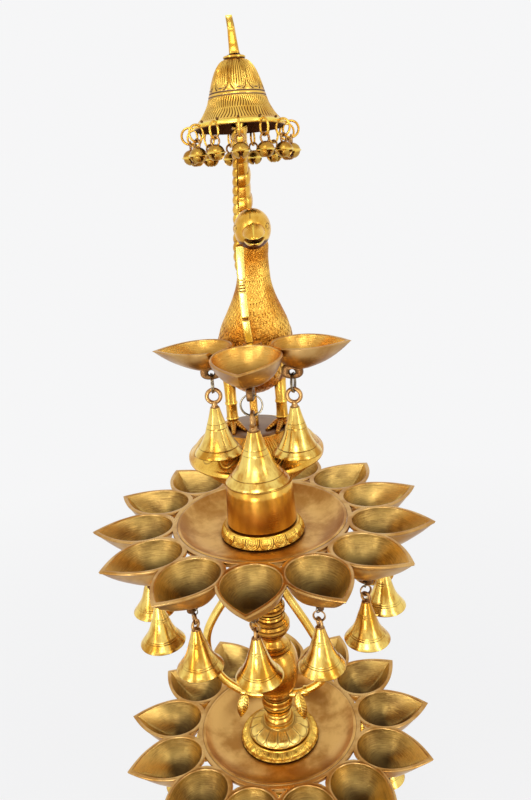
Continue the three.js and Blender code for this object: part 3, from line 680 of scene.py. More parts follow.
def breast_cups():
    """Three cups on a hub before the breast, with a pierced block and a bell under each."""
    whole = blank()
    hanging_drop = EYE_RADIUS - BREAST_EYE_WIRE - RING_WIRE - CLEARANCE
    for name, ((angle, floor, reach, dip), (size, ring_radius), (cup_turn, inner, half, depth,
            tilt)) in BREAST_CUPS.items():
        drop = floor - EYE_SUNK + EYE_RADIUS + BREAST_EYE_WIRE
        cup = blank()
        petal_cup(cup, inner, 90.0, half, depth, 3.0, 2)
        if cup_turn != FRONT_CUP_TURN:
            cut_for_front_cup(cup, radians(FRONT_CUP_TURN - cup_turn))
        join(whole, cup, Matrix.Translation(HUB) @ about("Z", cup_turn) @ about("Y", tilt))
        turn = about("Z", angle) @ about("Y", dip)
        held = blank()
        lug(held, (reach, 0, -drop), 10.0, 8.0, 6.0, EYE_RADIUS - BREAST_EYE_WIRE + 0.3, 6.0, 2)
        join(whole, held, Matrix.Translation(HUB) @ turn)
        eye = turn @ Vector((reach, 0, -drop))
        place = (HUB[0] + eye.x, HUB[1] + eye.y, HUB[2] + eye.z - hanging_drop)
        bell(name, size, (6.3, 1.9), ring_radius, 4.0, place, angle, (0.34, 0.44, 0.86))
    tube(whole, [(HUB[0], HUB[1] + 3, HUB[2] - z) for z in (0.4, 1.0, 4.0, 18.0, 19.5)],
        (7.5, 8.6, 9.0, 8.6, 6.0), (1, 0, 0), 32)
    piece("breast_cups_cast", whole, [CUP, BRIGHT_INSIDE, COPPER], "breast_cups")


def petal_edge(across, t, start, stretch):
    """How far out a point of a petal lies, 1 at its edge, which is round up to t = start."""
    return hypot(across, max(0.0, start - t) * stretch)


def hanging_petals(count, low, high):
    """Petals that hang with their round ends down: three lines round each and strokes inside."""
    def pattern(turns, radius, height):
        t = (height - low) / (high - low)
        if not 0.0 <= t <= 1.0:
            return 0.0
        s = fold(turns * count)
        across = abs(s) * 2
        out = petal_edge(across, t, 0.6, 1.6)
        cut = deepest(out, (0.97, 0.13, 1.0), (0.7, 0.11, 0.9), (0.46, 0.09, 0.8))
        if out < 0.38:
            cut = max(cut, 0.8 * line(fold(s * 9.0), 0.3))
        elif out > 1.08:
            cut = max(cut, 0.8 * line(fold((across + t * 3) * 2.4), 0.3))
        return cut - 0.6 * (1 - cut)
    return pattern


def petal_ring(name, low, radius, top_radius, height, node, petals):
    """The engraved ring that a turned part stands in, with a thin bright lip."""
    ring = blank()
    outside = eased([(radius - 1.6, low), (radius, low + 1.2), (radius - 0.1, low + 0.3 * height),
        (radius - 1.6, low + 0.6 * height), (top_radius + 0.8, low + 0.93 * height)], 8)
    profile = [(BORE, low)] + outside + [(top_radius + 0.3, low + height), (top_radius - 0.9, low + height),
        (BORE, low + height), (BORE, low)]
    engraved(ring, profile, 624, hanging_petals(petals, low + 1.0, low + 0.88 * height), 0.45)
    piece(name, ring, [CAST], node)


def sunburst(low, high, count):
    """Petals that spread down from a beaded neck."""
    def pattern(turns, radius, height):
        t = (high - height) / (high - low)
        if not 0.0 <= t <= 0.9:
            return 0.0
        if t < 0.1:
            return deepest(t, (0.015, 0.02, 1.0), (0.055, 0.02, 1.0), (0.095, 0.02, 1.0))
        s = fold(turns * count)
        across = abs(s) * 2
        end = hypot(across, max(0.0, t - 0.4) * 2.4)
        cut = deepest(end, (0.95, 0.09, 1.0), (0.78, 0.06, 0.6))
        if end < 0.7 and 0.1 < t < 0.45:
            cut = max(cut, 0.8 * line(fold(s * 6.0 + 0.5), 0.22) * min(1.0, (0.45 - t) * 8))
        return cut
    return pattern


def stem(name, low, high):
    """A petal ring, a low pot, a ribbed baluster and a flared collar, clamped on the rod."""
    petal_ring(f"{name}_petal_ring_chased", low, 45.0, 37.0, 9.5, f"{name}_petal_ring", 24)
    pot_low = low + 9.5 + CLEARANCE
    pot = blank()
    wall = eased([(33.6, pot_low), (35.4, pot_low + 1.1), (35.0, pot_low + 3.4), (31.6, pot_low + 6.9),
        (25.6, pot_low + 9.9), (19.8, pot_low + 11.8), (18.0, pot_low + 12.8)], 9)
    profile = [(BORE, pot_low)] + wall + [(17.6, pot_low + 13.0), (BORE, pot_low + 13.0), (BORE, pot_low)]
    engraved(pot, profile, 480, sunburst(pot_low, pot_low + 12.8, 14), 0.5)
    piece(f"{name}_pot_polished", pot, [RUBBED], f"{name}_pot")

    ribs_low = pot_low + 13.0 + CLEARANCE
    length = high - COLLAR_HEIGHT - CLEARANCE - ribs_low
    ribs = [(17.4, 0), (16.6, 0.03), (13.4, 0.07), (17, 0.109), (17, 0.159), (15, 0.18), (24, 0.25),
        (28, 0.35), (25, 0.45), (14, 0.52), (12.5, 0.555), (21, 0.62), (15, 0.69), (17, 0.73), (14, 0.77),
        (17, 0.828), (17, 0.938), (14, 1)]
    lines = [0.02, 0.05, 0.1, 0.125, 0.17, 0.2, 0.485, 0.5] + [0.57 + 0.021 * k for k in range(19)]
    baluster = blank()
    profile = []
    curve = [(radius, ribs_low + share * length) for radius, share in eased(ribs, 6)]
    for (r0, z0), (r1, z1) in zip(curve, curve[1:]):
        profile.append((r0, z0))
        for share in lines:
            at = ribs_low + share * length
            if z0 < at <= z1:
                r = r0 + (r1 - r0) * (at - z0) / (z1 - z0)
                profile += [(r + 0.5, at - 1.1), (r - 0.4, at - 0.45, 1.0), (r - 0.4, at + 0.25, 1.0),
                    (r + 0.5, at + 0.8)]
    profile.sort(key=lambda point: point[1])
    spin(baluster, [(BORE, ribs_low)] + profile + [(14, ribs_low + length), (BORE, ribs_low + length),
        (BORE, ribs_low)], 80)
    piece(f"{name}_stem_ribbed", baluster, [TURNED], f"{name}_ribbed_stem")

    collar_low = high - COLLAR_HEIGHT
    collar = blank()
    curve = eased([(14, collar_low), (18.8, collar_low + 2.4), (20, collar_low + 5),
        (18.6, collar_low + 7.6), (16, collar_low + 10.4), (16.8, collar_low + 16), (22, high - 8),
        (28.6, high - 1.6)], 6)
    spin(collar, [(BORE, collar_low)] + curve + [(29.6, high - 0.9), (29.8, high), (BORE, high),
        (BORE, collar_low)], 80)
    piece(f"{name}_collar_turned", collar, [TURNED], f"{name}_collar")
    return ribs_low, length


def scroll_arm(name, side, high_share, bend, top, tip, ribs):
    """A bent bar between two collars of the stem, with an engraved leaf that hangs from its lower end."""
    ribs_low, length = ribs
    low, high = ribs_low + 0.167 * length, ribs_low + high_share * length
    arm = blank()
    path = eased([(side * x, 0.0, low + share * (high - low)) for x, share in [(14, 1)] + bend + [(14, 0)]],
        12)
    tube(arm, path, [4.8] * len(path), (0, 1, 0), 20)
    join_at = path[-14]
    tube(arm, [(join_at[0] - side * 3, 0, join_at[2]), (join_at[0], 0, join_at[2]),
        (join_at[0] + side * 3, 0, join_at[2])], (5.6, 6.0, 5.4), (0, 1, 0), 20)
    start, end = Vector((top[0], top[1], low + top[2])), Vector((tip[0], tip[1], low + tip[2]))

    def leaf(column, row):
        share = row / 36
        half = 7.6 * sin(pi * share) ** 0.62 * (1 - 0.25 * share)
        across, thick = on_circle(column, 48)
        rib = max(0.0, 1 - abs(across) * 7)
        stroke = line(fold(share * 9 - abs(across) * 1.4), 0.28) if 0.12 < abs(across) < 0.9 else 0.0
        edge = line(abs(across) - 0.86, 0.06)
        cut = max(stroke, edge) - rib
        curl = sin(share * pi) * -3.5 + 3.0 * share * share * abs(across) * min(1.0, half / 3)
        place = start.lerp(end, share) + Vector((half * across, copysign(
            max(0.0, 1.7 * abs(thick) ** 0.6 - 0.35 * cut) * min(1.0, half / 3), thick) + curl, 0))
        return place, max(cut, -0.6) * (1.0 if abs(thick) > 0.2 else 0.0)

    skin(arm, leaf, 48, 36)
    piece(f"{name}_bent", arm, [RUBBED], name)


def upper_group(rim):
    """Petal ring, drum and the engraved lotus that the bird stands on."""
    low = rim - DISH_DROP + CLEARANCE
    petal_ring("upper_petal_ring_chased", low, 44.3, 39.0, 13.0, "upper_petal_ring", 18)
    drum = blank()
    foot, top = low + 13.0 + CLEARANCE, rim + 44.0
    spin(drum, [(BORE, foot), (35.9, foot, 0.9), (35.9, foot + 1.0, 0.9), (36.9, foot + 1.6),
        (36.6, foot + 6), (35.9, foot + 20), (35.1, top - 10), (35.0, top - 2.2), (34.4, top - 1.6, 0.8),
        (35.0, top - 1.0), (34.8, top), (BORE, top), (BORE, foot)], 128)
    piece("upper_drum_turned", drum, [TURNED], "upper_drum")

    seat_low = top + CLEARANCE
    lotus = blank()
    under = eased([(36, seat_low), (39, seat_low + 5), (49.3, seat_low + 13), (62.3, seat_low + 25),
        (67.8, seat_low + 28.2)], 11)
    edge = [(69.0, seat_low + 28.9), (69.3, seat_low + 30.4), (69.1, seat_low + 33.2),
        (68.2, seat_low + 34.6)]
    dome = eased([(67.0, seat_low + 35.0), (63.3, rim + 83.8), (57.3, rim + 90.6), (47.3, rim + 97.6),
        (35.4, rim + 102.4)], 9)
    top = [(34.6, rim + 102.2, 0.0), (34.0, rim + 102.4, 0.0), (33.2, rim + SEAT_TOP, 0.0),
        (24.0, rim + SEAT_TOP, 0.0), (BORE, rim + SEAT_TOP, 0.0), (BORE, seat_low, 0.0)]

    def pattern(turns, radius, height):
        if height < seat_low + 28.4:
            if 40.5 < radius < 47.0:
                return 0.9 * line(fold(turns * 40), 0.16) * (1 - abs(radius - 43.7) / 3.4)
            rope = 0.0
            for low_edge, high_edge in ((50.0, 54.6), (56.2, 60.8)):
                if low_edge < radius < high_edge:
                    rope = 0.8 * line(fold(turns * 96 + (radius - low_edge) * 0.2), 0.27)
            edges = max(line(radius - at, 0.6) for at in (40.0, 47.6, 49.4, 55.2, 55.9, 61.4, 64.6))
            return max(rope, edges)
        if height > seat_low + 34.9 and radius > 35.6:
            t = (68.0 - radius) / 31.5
            s = abs(fold(turns * 16)) * 2
            end = petal_edge(s, t, 0.55, 2.2)
            cut = deepest(end, (0.96, 0.06, 0.6), (0.8, 0.05, 0.45))
            if end < 0.66:
                cut = max(cut, 0.4 * line(fold(turns * 16 * 7), 0.2))
            return cut
        return 0.0

    engraved(lotus, [(BORE, seat_low)] + under + edge + dome + [point[:2] for point in top], 672, pattern,
        0.7)
    flat = rim + 102.3
    for face in lotus.faces:
        if all(vert.co.z > flat for vert in face.verts):
            face.material_index = 1
    piece("lotus_seat_chased", lotus, [CAST, DULL], "lotus_seat")


# Sections of the bird: front y and z, back y and z, half width, shift to the side, over the upper tray
LEAN = 0.088
LEAN_FROM = 90.0
BIRD_SECTIONS = [(58.5, 191, 58.5, 195, 1.5, 0), (56, 187, 56, 199, 6, 0), (47, 164, 44, 210, 20, 0),
    (27, 144, 24, 217, 30, 0), (3, 137, 9, 219, 34.5, 0), (-22, 150, 2, 224, 35.5, 0),
    (-38, 174, -3, 231, 34, 0), (-43, 199, -6, 238, 28, 0), (-41, 221, -7, 247, 21.5, -0.5),
    (-37, 241, -7, 257, 16.7, -1), (-33.5, 257, -6.5, 267, 14.8, -1.5), (-32.5, 271, -7, 278, 14, -2),
    (-35, 283, -12, 289, 13.6, -1.5), (-35, 289, -18, 296, 9, -1), (-31, 294, -25, 298, 2, -1)]
HEAD = (17.0, -33.0, 300.5)
HEAD_SIZE = (16.4, 19.0, 18.0)
# The halves of the bill: the ends of its axis, and rings of share of its length, half width, height over
# and depth under it
BILL = {1: ((18.6, -44.0, 299.2), (20.8, -66.6, 294.6), [(0.0, 10.6, 9.6, 2.2), (0.35, 9.8, 8.4, 2.2),
    (0.62, 8.2, 6.2, 2.1), (0.84, 5.6, 3.8, 1.8), (0.95, 3.4, 2.2, 1.4), (1.0, 1.2, 0.8, 0.7)]),
    -1: ((18.6, -44.0, 293.4), (20.4, -62.6, 289.9), [(0.0, 9.8, 1.0, 6.0), (0.4, 8.6, 1.0, 5.0),
    (0.75, 6.2, 0.9, 3.6), (0.93, 3.6, 0.7, 2.0), (1.0, 1.2, 0.5, 0.7)])}


def feathers(across, down):
    """Overlapping scales, each with a line round its lower edge: how deep they are cut."""
    row = floor(down)
    t = down - row
    edge = hypot(abs(fold(across + 0.5 * (row % 2))) * 2, max(0.0, t - 0.3) / 0.68)
    if edge > 1.0:
        return 0.5 * line(abs(fold(across + 0.5 * ((row + 1) % 2))) * 2 - 0.94, 0.12)
    return max(line(edge - 0.9, 0.13), -0.6 * (1 - edge))


def head(bird, rim):
    """The round head with a crest line and two eyes, and a short bill whose lips carry a painted highlight,
    over a chin painted dark as shade under the bill.
    """
    def skull(column, row):
        turn, rise = 2 * pi * column / 96, pi * (row / 72 - 0.5)
        way = Vector((sin(turn) * cos(rise), -cos(turn) * cos(rise), sin(rise)))
        cut = 0.7 * line(way.x, 0.03) if way.z > 0.55 else 0.0
        lift = -0.3 * cut
        for side in (-1, 1):
            eye = (way - Vector((side * 0.86, -0.48, 0.12)).normalized()).length
            lift += 0.8 * max(0.0, 1 - (eye / 0.12) ** 2) + 0.5 * line(eye - 0.21, 0.06)
            cut = max(cut, line(eye - 0.145, 0.03))
        # Painted shade: the front of the head's underside darkens towards the bottom, for the shade under
        # the bill.
        if way.z < -0.45 and way.y < -0.1:
            cut = max(cut, min(0.9, (-0.45 - way.z) * 6))
        place = Vector(HEAD) + Vector(part * size for part, size in zip(way, HEAD_SIZE)) + way * lift
        return place + Vector((0, 0, rim)), cut

    skin(bird, skull, 96, 72, 1)
    for half, (start, end, rings) in BILL.items():
        rings = eased(rings, 7)

        def bill(column, row):
            k, size = capped(row, len(rings) - 1)
            share, wide, over, under = rings[k]
            c, s = on_circle(column, 72)
            high = s * (over if s > 0 else under)
            # Painted highlight on the lips and along the top ridge of the upper half; painted shade on the
            # faces inside the mouth and under the lower half. The line round the upper half near its base
            # is a real groove.
            lip = line(s * half + 0.1, 0.35)
            cut = -lip if lip else 1.0 if s * half < -0.3 else 0.0
            if half < 0 and s < -0.75:
                cut = 0.8
            elif half > 0 and s > 0:
                cut = max(0.0, 0.7 * line(share - 0.12, 0.05)) - 0.9 * line(c, 0.2)
            place = Vector(start).lerp(Vector(end), share)
            return place + Vector((c * wide * size, 0, rim + high * size * (1 + 0.1 * line(c, 0.25)))), cut

        skin(bird, bill, 72, len(rings) + 1, 1)


def peacock(rim):
    """The bird in one casting: scaled body and neck, smooth head, bill, legs and feet."""
    per = 14
    rows = eased(BIRD_SECTIONS, per)
    count = len(rows) - 1
    around = 288
    cells = 42
    down = [0.0]
    for before, here in zip(rows, rows[1:]):
        tall = hypot(here[2] - here[0], here[3] - here[1]) / 2
        step = dist([(before[0] + before[2]) / 2, (before[1] + before[3]) / 2],
            [(here[0] + here[2]) / 2, (here[1] + here[3]) / 2])
        girth = pi * (tall + here[4])
        down.append(down[-1] + step / (girth / cells * 0.92))

    def surface(column, row):
        row, size = capped(row, count)
        y0, z0, y1, z1, half, shift = rows[row]
        station = row / per
        way = 2 * pi * column / around
        c, s = cos(way), sin(way)
        tall = max(0.5, hypot(y1 - y0, z1 - z0) / 2)
        normal = Vector((c / max(half, 1.0), s * (y1 - y0) / 2 / tall ** 2,
            s * (z1 - z0) / 2 / tall ** 2)).normalized()
        if size == 0.0:
            c, s, half = 0.0, 0.0, 0.0
        z = (z0 + z1) / 2 + (z1 - z0) / 2 * s
        at = Vector((LEAN * (z - LEAN_FROM) + shift + half * c, (y0 + y1) / 2 + (y1 - y0) / 2 * s, rim + z))
        rise, cut = 0.0, 0.0
        side = abs(abs(fold(way / (2 * pi))) * 4 - (0.0 if c > 0 else 2.0))
        wing = hypot((station - 3.3) / 2.5, (side - (0.15 if s > 0 else 0.0)) / 0.62)
        if wing < 1.0 and abs(c) > 0.35:
            feather = side * 7.0 * copysign(1, s) + 0.5 * (station - 3.0) ** 2
            cut = max(line(wing - 0.95, 0.06), 0.8 * line(fold(feather), 0.16),
                0.5 * line(fold(station * 6 + feather), 0.2))
            rise = 1.4 * min(1.0, (1 - wing) * 6)
        elif station > 0.6:
            cut = feathers(column / around * cells, 60 - down[row]) * min(1.0, (station - 0.6) * 3)
            cut *= 1.1 if station < 7.0 else 0.9
        return at + normal * (rise - 0.45 * max(cut, -0.7)) * size, cut

    bird = blank()
    skin(bird, surface, around, count + 2)
    head(bird, rim)
    top = rim + SEAT_TOP + CLEARANCE
    for side in (-1, 1):
        x = LEAN * (130 - LEAN_FROM) + side * 25.5
        levels = [top + 1.0, top + 4, top + 7, top + 8, top + 9.4, top + 22, top + 23.2, top + 24.6,
            top + 26, top + 44, rim + 164]
        radii = (6.4, 6.1, 5.9, 6.6, 5.8, 5.6, 6.4, 6.4, 5.6, 6.0, 7.5)
        depths = [0.3, 0.0, 0.4, -0.6, 0.4, 0.0, 0.3, -0.6, 0.3, 0.0, 0.0]
        tube(bird, [(x, 4.0, z) for z in levels], radii, (1, 0, 0), 28, 1, depths)
        for spread, long in ((-30, 25), (0, 29), (30, 25), (180, 15)):
            way = radians(-90 + spread - side * 8)
            toe = even([(1.0, 3.6), (0.35 * long, 4.0), (0.7 * long, 2.4), (long, 0.9)], 1.1)
            path = [(x + reach * cos(way), 4.0 + reach * sin(way),
                top - 0.6 + high - max(0.0, hypot(x + reach * cos(way), 4.0 + reach * sin(way))
                - 34.0) * 0.36) for reach, high in toe]
            radii = [max(0.5, 4.6 - 3.1 * k / (len(path) - 1)) - 0.35 * (k % 3 == 0) for k in range(
                len(path))]
            tube(bird, path, radii, (0, 0, 1), 14, 0, [0.9 if k % 3 == 0
                else -0.1 for k in range(len(path))])
    tube(bird, [(1.0, 0.0, z) for z in (top + 0.2, top + 2, top + 20, rim + 160)], (4.0, 4.0, 4.0, 4.0),
        (1, 0, 0), 20)
    tube(bird, [(24.0, 15.0, z) for z in (top, top + 1, top + 9, top + 12)], (2.2, 2.2, 1.7, 0.9),
        (1, 0, 0), 12, 1, [0.8] * 4)
    piece("peacock_chased", bird, [FEATHER, CAST], "peacock")


# The tail from the bird's back to the canopy: x, y, z over the upper tray, half width, half depth
TAIL_SECTIONS = [(9, 50, 184, 5, 5), (8.8, 62, 190, 7, 7), (6.5, 69, 206, 9, 10), (1.5, 74, 232, 11, 13),
    (-3, 75, 262, 11.5, 13), (-1.7, 72, 298, 10.2, 12), (0.8, 61, 334, 9, 11), (3.2, 46, 360, 7.7, 10),
    (5.3, 33, 378, 7.4, 8.5), (7, 24, 392, 7, 7)]


def tail_plume(rim):
    """The raised tail, with carved foliage on its left and stacked blocks on its right, and the post."""
    rows = eased(TAIL_SECTIONS, 32)
    last = len(rows) - 1
    run = [0.0]
    for before, here in zip(rows, rows[1:]):
        run.append(run[-1] + dist(before[:3], here[:3]))
    around = 168

    def surface(column, row):
        k, size = capped(row, last)
        x, y, z, wide, deep = rows[k]
        before, after = rows[max(k - 1, 0)], rows[min(k + 1, last)]
        tilt = atan2(after[2] - before[2], after[1] - before[1])
        c, s = on_circle(column, around)
        across, out = squared(c, 0.6), squared(s, 0.6)
        along = run[k] / 13.5
        cut, rise = 0.0, 0.0
        if across > -0.3:
            block = abs(fold(along + 0.5)) * 2
            knob = 1.0 if floor(along + 0.5) % 2 else 0.4
            rise = 1.9 * knob * sqrt(max(0.0, 1 - (1 - block) ** 2)) - 1.3
            cut = max(0.8 * line(block, 0.13), 0.4 * line(block - 0.3, 0.07),
                0.4 * line(across + 0.2, 0.09), -0.8 * block)
        elif across > -0.42:
            cut, rise = 0.5, -0.8
        else:
            leaf = fold(along * 1.35 + out * 0.5)
            ridge = abs(leaf) * 2
            rise = 1.3 * (1 - ridge ** 2) - 0.5
            cut = max(0.8 * line(ridge - 0.95, 0.12), 0.6 * line(fold(along * 4 + across * 3.0),
                0.18) * (1 - ridge))
        fade = 1.0 if 3 < k < last - 3 else 0.3
        reach_x, reach_y = wide + rise * fade, deep + rise * fade
        place = Vector((x + size * across * reach_x, y + size * out * reach_y * sin(tilt),
            rim + z - size * out * reach_y * cos(tilt)))
        return place, cut * 0.9

    plume = blank()
    skin(plume, surface, around, last + 2)
    post = [(7.2, 22.0, rim + z) for z in (387.0, 388.0, 436.0, 437.5, 438.0, 449.0, 449.9)]
    tube(plume, post, (3.6, 4.0, 4.0, 3.4, 2.6, 2.6, 2.0), (1, 0, 0), 20)
    piece("tail_plume_chased", plume, [CAST], "tail_plume")


def beak_garland(rim):
    """A strip from the beak to the cups: three flat bright lengths with beaded links between them."""
    strip = blank()
    path = even(eased([(7.6, -60, 290.5), (7, -60, 280), (6.6, -59, 262), (6.4, -58, 245), (7, -58, 222),
        (8.6, -57, 203.5)], 4), 0.9)
    last = len(path) - 1
    section = [(0.0, -1.0), (0.55, -1.0), (0.85, -0.9), (1.0, -0.45), (1.0, 0.45), (0.85, 0.9), (0.55, 1.0),
        (0.0, 1.0)]
    section += [(-a, b) for a, b in reversed(section[:-1])]
    around = len(section) - 1

    def surface(column, row):
        k, size = capped(row, last)
        x, y, z = path[k]
        a, b = section[column]
        wide, thick, cut = 3.4, 1.2, -0.7
        if 249.0 < z < 261.0:
            bead = abs(sin(z * pi / 2.6))
            wide, thick, cut = 2.4 + 0.5 * bead, 0.8 + 0.8 * bead, 0.85 - bead
        elif abs(z - 225.0) < 1.2 or z > 288.6:
            wide, thick, cut = 2.7, 0.7, 0.9
        return (x + size * a * wide, y + size * b * thick, rim + z), cut

    skin(strip, surface, around, last + 2)
    for k in range(17):
        z = 246.0 + k * 1.25
        side = [(1.5 - 0.2 * sin(k), -45.0 + 0.12 * k, rim + z + part) for part in (-0.5, -0.2, 0.2, 0.5)]
        tube(strip, side, (0.4, 0.75, 0.75, 0.4), (1, 0, 0), 8)
    piece("beak_garland_strip", strip, [BELL], "beak_garland")


CANOPY = (7.2, 22.0)
CANOPY_RADIUS = 42.4
CANOPY_HEIGHT = 58.0
JINGLE_COUNT = 13
CANOPY_SLANT = 0.06
JINGLE_RADIUS = 8.2
JINGLE_DROP = 22.0


def jingle():
    """A flattened jingle bell with a flange and crossed slots, on its shank and wire ring."""
    whole = blank()
    wire_ring(whole, 7.2, 1.1, (0, 0, -3.2), "Y", 0, 8, 26)
    wire_ring(whole, 4.2, 1.0, (0, 0, -12.4), "X", 2, 8, 20)

    def surface(column, row):
        down = pi * row / 26
        c, s = on_circle(column, 48)
        flange = line(down - pi / 2, 0.13)
        reach, cut = JINGLE_RADIUS - 0.4 + 1.3 * flange, -flange
        if flange == 0.0:
            cut = max(0.45, 0.8 * line(abs(down - pi / 2) - 0.18, 0.12))
        # Painted shade: the crossed slots are sunk 3 mm and painted fully dark, for the shade inside the
        # bell.
        if down > 1.72:
            level = JINGLE_RADIUS * sin(down)
            if min(abs(level * s), abs(level * c)) < (1.4 if down > 1.85 else 2.2):
                reach, cut = JINGLE_RADIUS - 3.0, 1.0
        out = reach * sin(down)
        return (out * c, out * s, 0.9 * reach * cos(down) - JINGLE_DROP), cut

    skin(whole, surface, 48, 26)
    return whole


def canopy():
    """The bell-shaped cover with petals, a double line and leaf strokes, and its fringe of jingle bells."""
    low = UPPER_RIM + CANOPY_LIP
    cover = blank()
    outside = [(CANOPY_RADIUS, 0.6), (CANOPY_RADIUS + 0.1, 2.2),
        (CANOPY_RADIUS, 3.6)] + even(eased([(CANOPY_RADIUS - 0.8, 4.3), (34.8, 11), (28.8, 20.5),
        (26.2, 28.5), (22.8, 39), (19.0, 48), (14.2, 54.4), (10.0, 56.7)], 6), 0.8)
    cap = [(9.2, 56.9), (9.2, 57.6), (10.0, 57.9), (10.1, 59.0), (9.4, 59.6), (6.8, 59.8), (6.6, 60.2),
        (6.6, 61.0), (3.2, 61.1)]
    inside = [(3.2, 50.0), (15.4, 47.0), (19.9, 38.0), (23.8, 27.5), (26.4, 19.5), (32.4, 10.0),
        (39.6, 3.6), (40.0, 1.0), (40.6, 0.2), (41.8, 0.1), (CANOPY_RADIUS, 0.6)]

    def pattern(turns, radius, height):
        if height > 56.5:
            return 0.9 if 9.1 < radius < 9.3 or 6.6 <= radius < 6.7 else 0.0
        # The inside of the cover and everything inside radius 9.5 take the full depth, which gives them the
        # darkest colour.
        if radius < 9.5 or (radius, height) in inside:
            return 0.9
        # Painted highlight: the lip, below 5 mm, is painted pale.
        if height < 5.0:
            return -0.8
        cut = max(line(height - 26.2, 0.6), line(height - 29.4, 0.6))
        if height > 30.6:
            s = fold(turns * 9)
            across = abs(s) * 2
            t = (height - 31.0) / 25.0
            end = petal_edge(across * (0.85 + 0.5 * t), t, 0.4, 2.0)
            cut = max(cut, deepest(end, (0.9, 0.08, 1.0), (0.74, 0.06, 0.7)))
            if end < 0.62:
                cut = max(cut, line(fold(s * 7 + 0.5), 0.24) * min(1.0, 8 * max(0.0, t - 0.1)))
            elif end > 0.98:
                cut = max(cut, 0.8 * line(fold(s * 16), 0.26) * min(1.0, 6 * t))
        elif 6.5 < height < 25.4:
            t = (height - 6.5) / 19.0 * 2
            row = floor(t)
            sway = 0.3 * sin(4.0 * t + 12 * pi * turns)
            stroke = fold(turns * 84 + 0.5 * (row % 2) + sway)
            cut = max(cut, 1.1 * line(stroke, 0.3) * min(1.0, 8 * (1 - abs(t - row - 0.5) * 2)))
        return cut

    engraved(cover, outside + cap + inside, 600, pattern, 0.6)
    for face in cover.faces:
        middle = face.calc_center_median()
        if middle.z < 50.0 and hypot(middle.x, middle.y) < CANOPY_RADIUS - 1.0 and face.normal.z < 0:
            face.material_index = 3
    for vert in cover.verts:
        vert.co.z -= CANOPY_SLANT * (vert.co.y + CANOPY_RADIUS) * (1 - vert.co.z / (CANOPY_HEIGHT + 3.2))
    one = jingle()
    for i in range(JINGLE_COUNT):
        turned = about("Z", -90 + 5 + 360 / JINGLE_COUNT * i)
        out = turned @ Vector((CANOPY_RADIUS, 0, 0))
        turned = Matrix.Translation((0, 0, -CANOPY_SLANT * (out.y + CANOPY_RADIUS))) @ turned
        join(cover, one, turned @ Matrix.Translation((CANOPY_RADIUS + 4.6, 0, 0)), keep=True)
        stud = blank()
        tube(stud, [(0.9, 0, 0.9), (0.5, 0, 0.5), (-0.6, 0, -0.6), (-1.0, 0, -1.0)], (0.6, 1.1, 1.1, 0.6),
            (0, 1, 0), 12, 2, [0.7] * 4)
        join(cover, stud, turned @ Matrix.Translation((CANOPY_RADIUS - 2.2, 0, 6.2)))
    one.free()
    piece("canopy_chased", cover, [CAST, TURNED, COPPER, DULL], "canopy", place=(*CANOPY, low))


def finial(rim):
    """A narrow blade, curved forwards and back, that leans to its right and ends in a bright flat top."""
    base = rim + CANOPY_LIP + CANOPY_HEIGHT + 3.0 + CLEARANCE
    rows = eased([(0.0, 0.0, 5.0), (0.0, 2.0, 5.0), (0.3, 5.2, 4.6), (1.0, 8.5, 4.0), (1.7, 13.0, 3.8),
        (3.4, 18.0, 4.1), (4.2, 21.0, 3.8), (3.0, 25.0, 3.8), (0.6, 28.4, 3.2), (-0.8, 30.4, 2.6),
        (-1.0, 31.0, 2.2)], 5)
    last = len(rows) - 1

    def surface(column, row):
        k, size = capped(row, last)
        y, z, deep = rows[k]
        c, s = on_circle(column, 32)
        wide = 4.9 - 1.9 * (z / 31.0) ** 0.7
        a = squared(c, 0.5) * wide * size
        b = squared(s, 0.7) * deep * size
        tarnish = 0.45 if 22.0 < z < 29.0 else -0.9 if z > 29.5 else 0.0
        return (CANOPY[0] + 0.6 - 0.08 * z + a, CANOPY[1] + y + b, base + z), tarnish

    blade = blank()
    skin(blade, surface, 32, last + 2)
    piece("finial_blade", blade, [CAST], "finial_leaf")


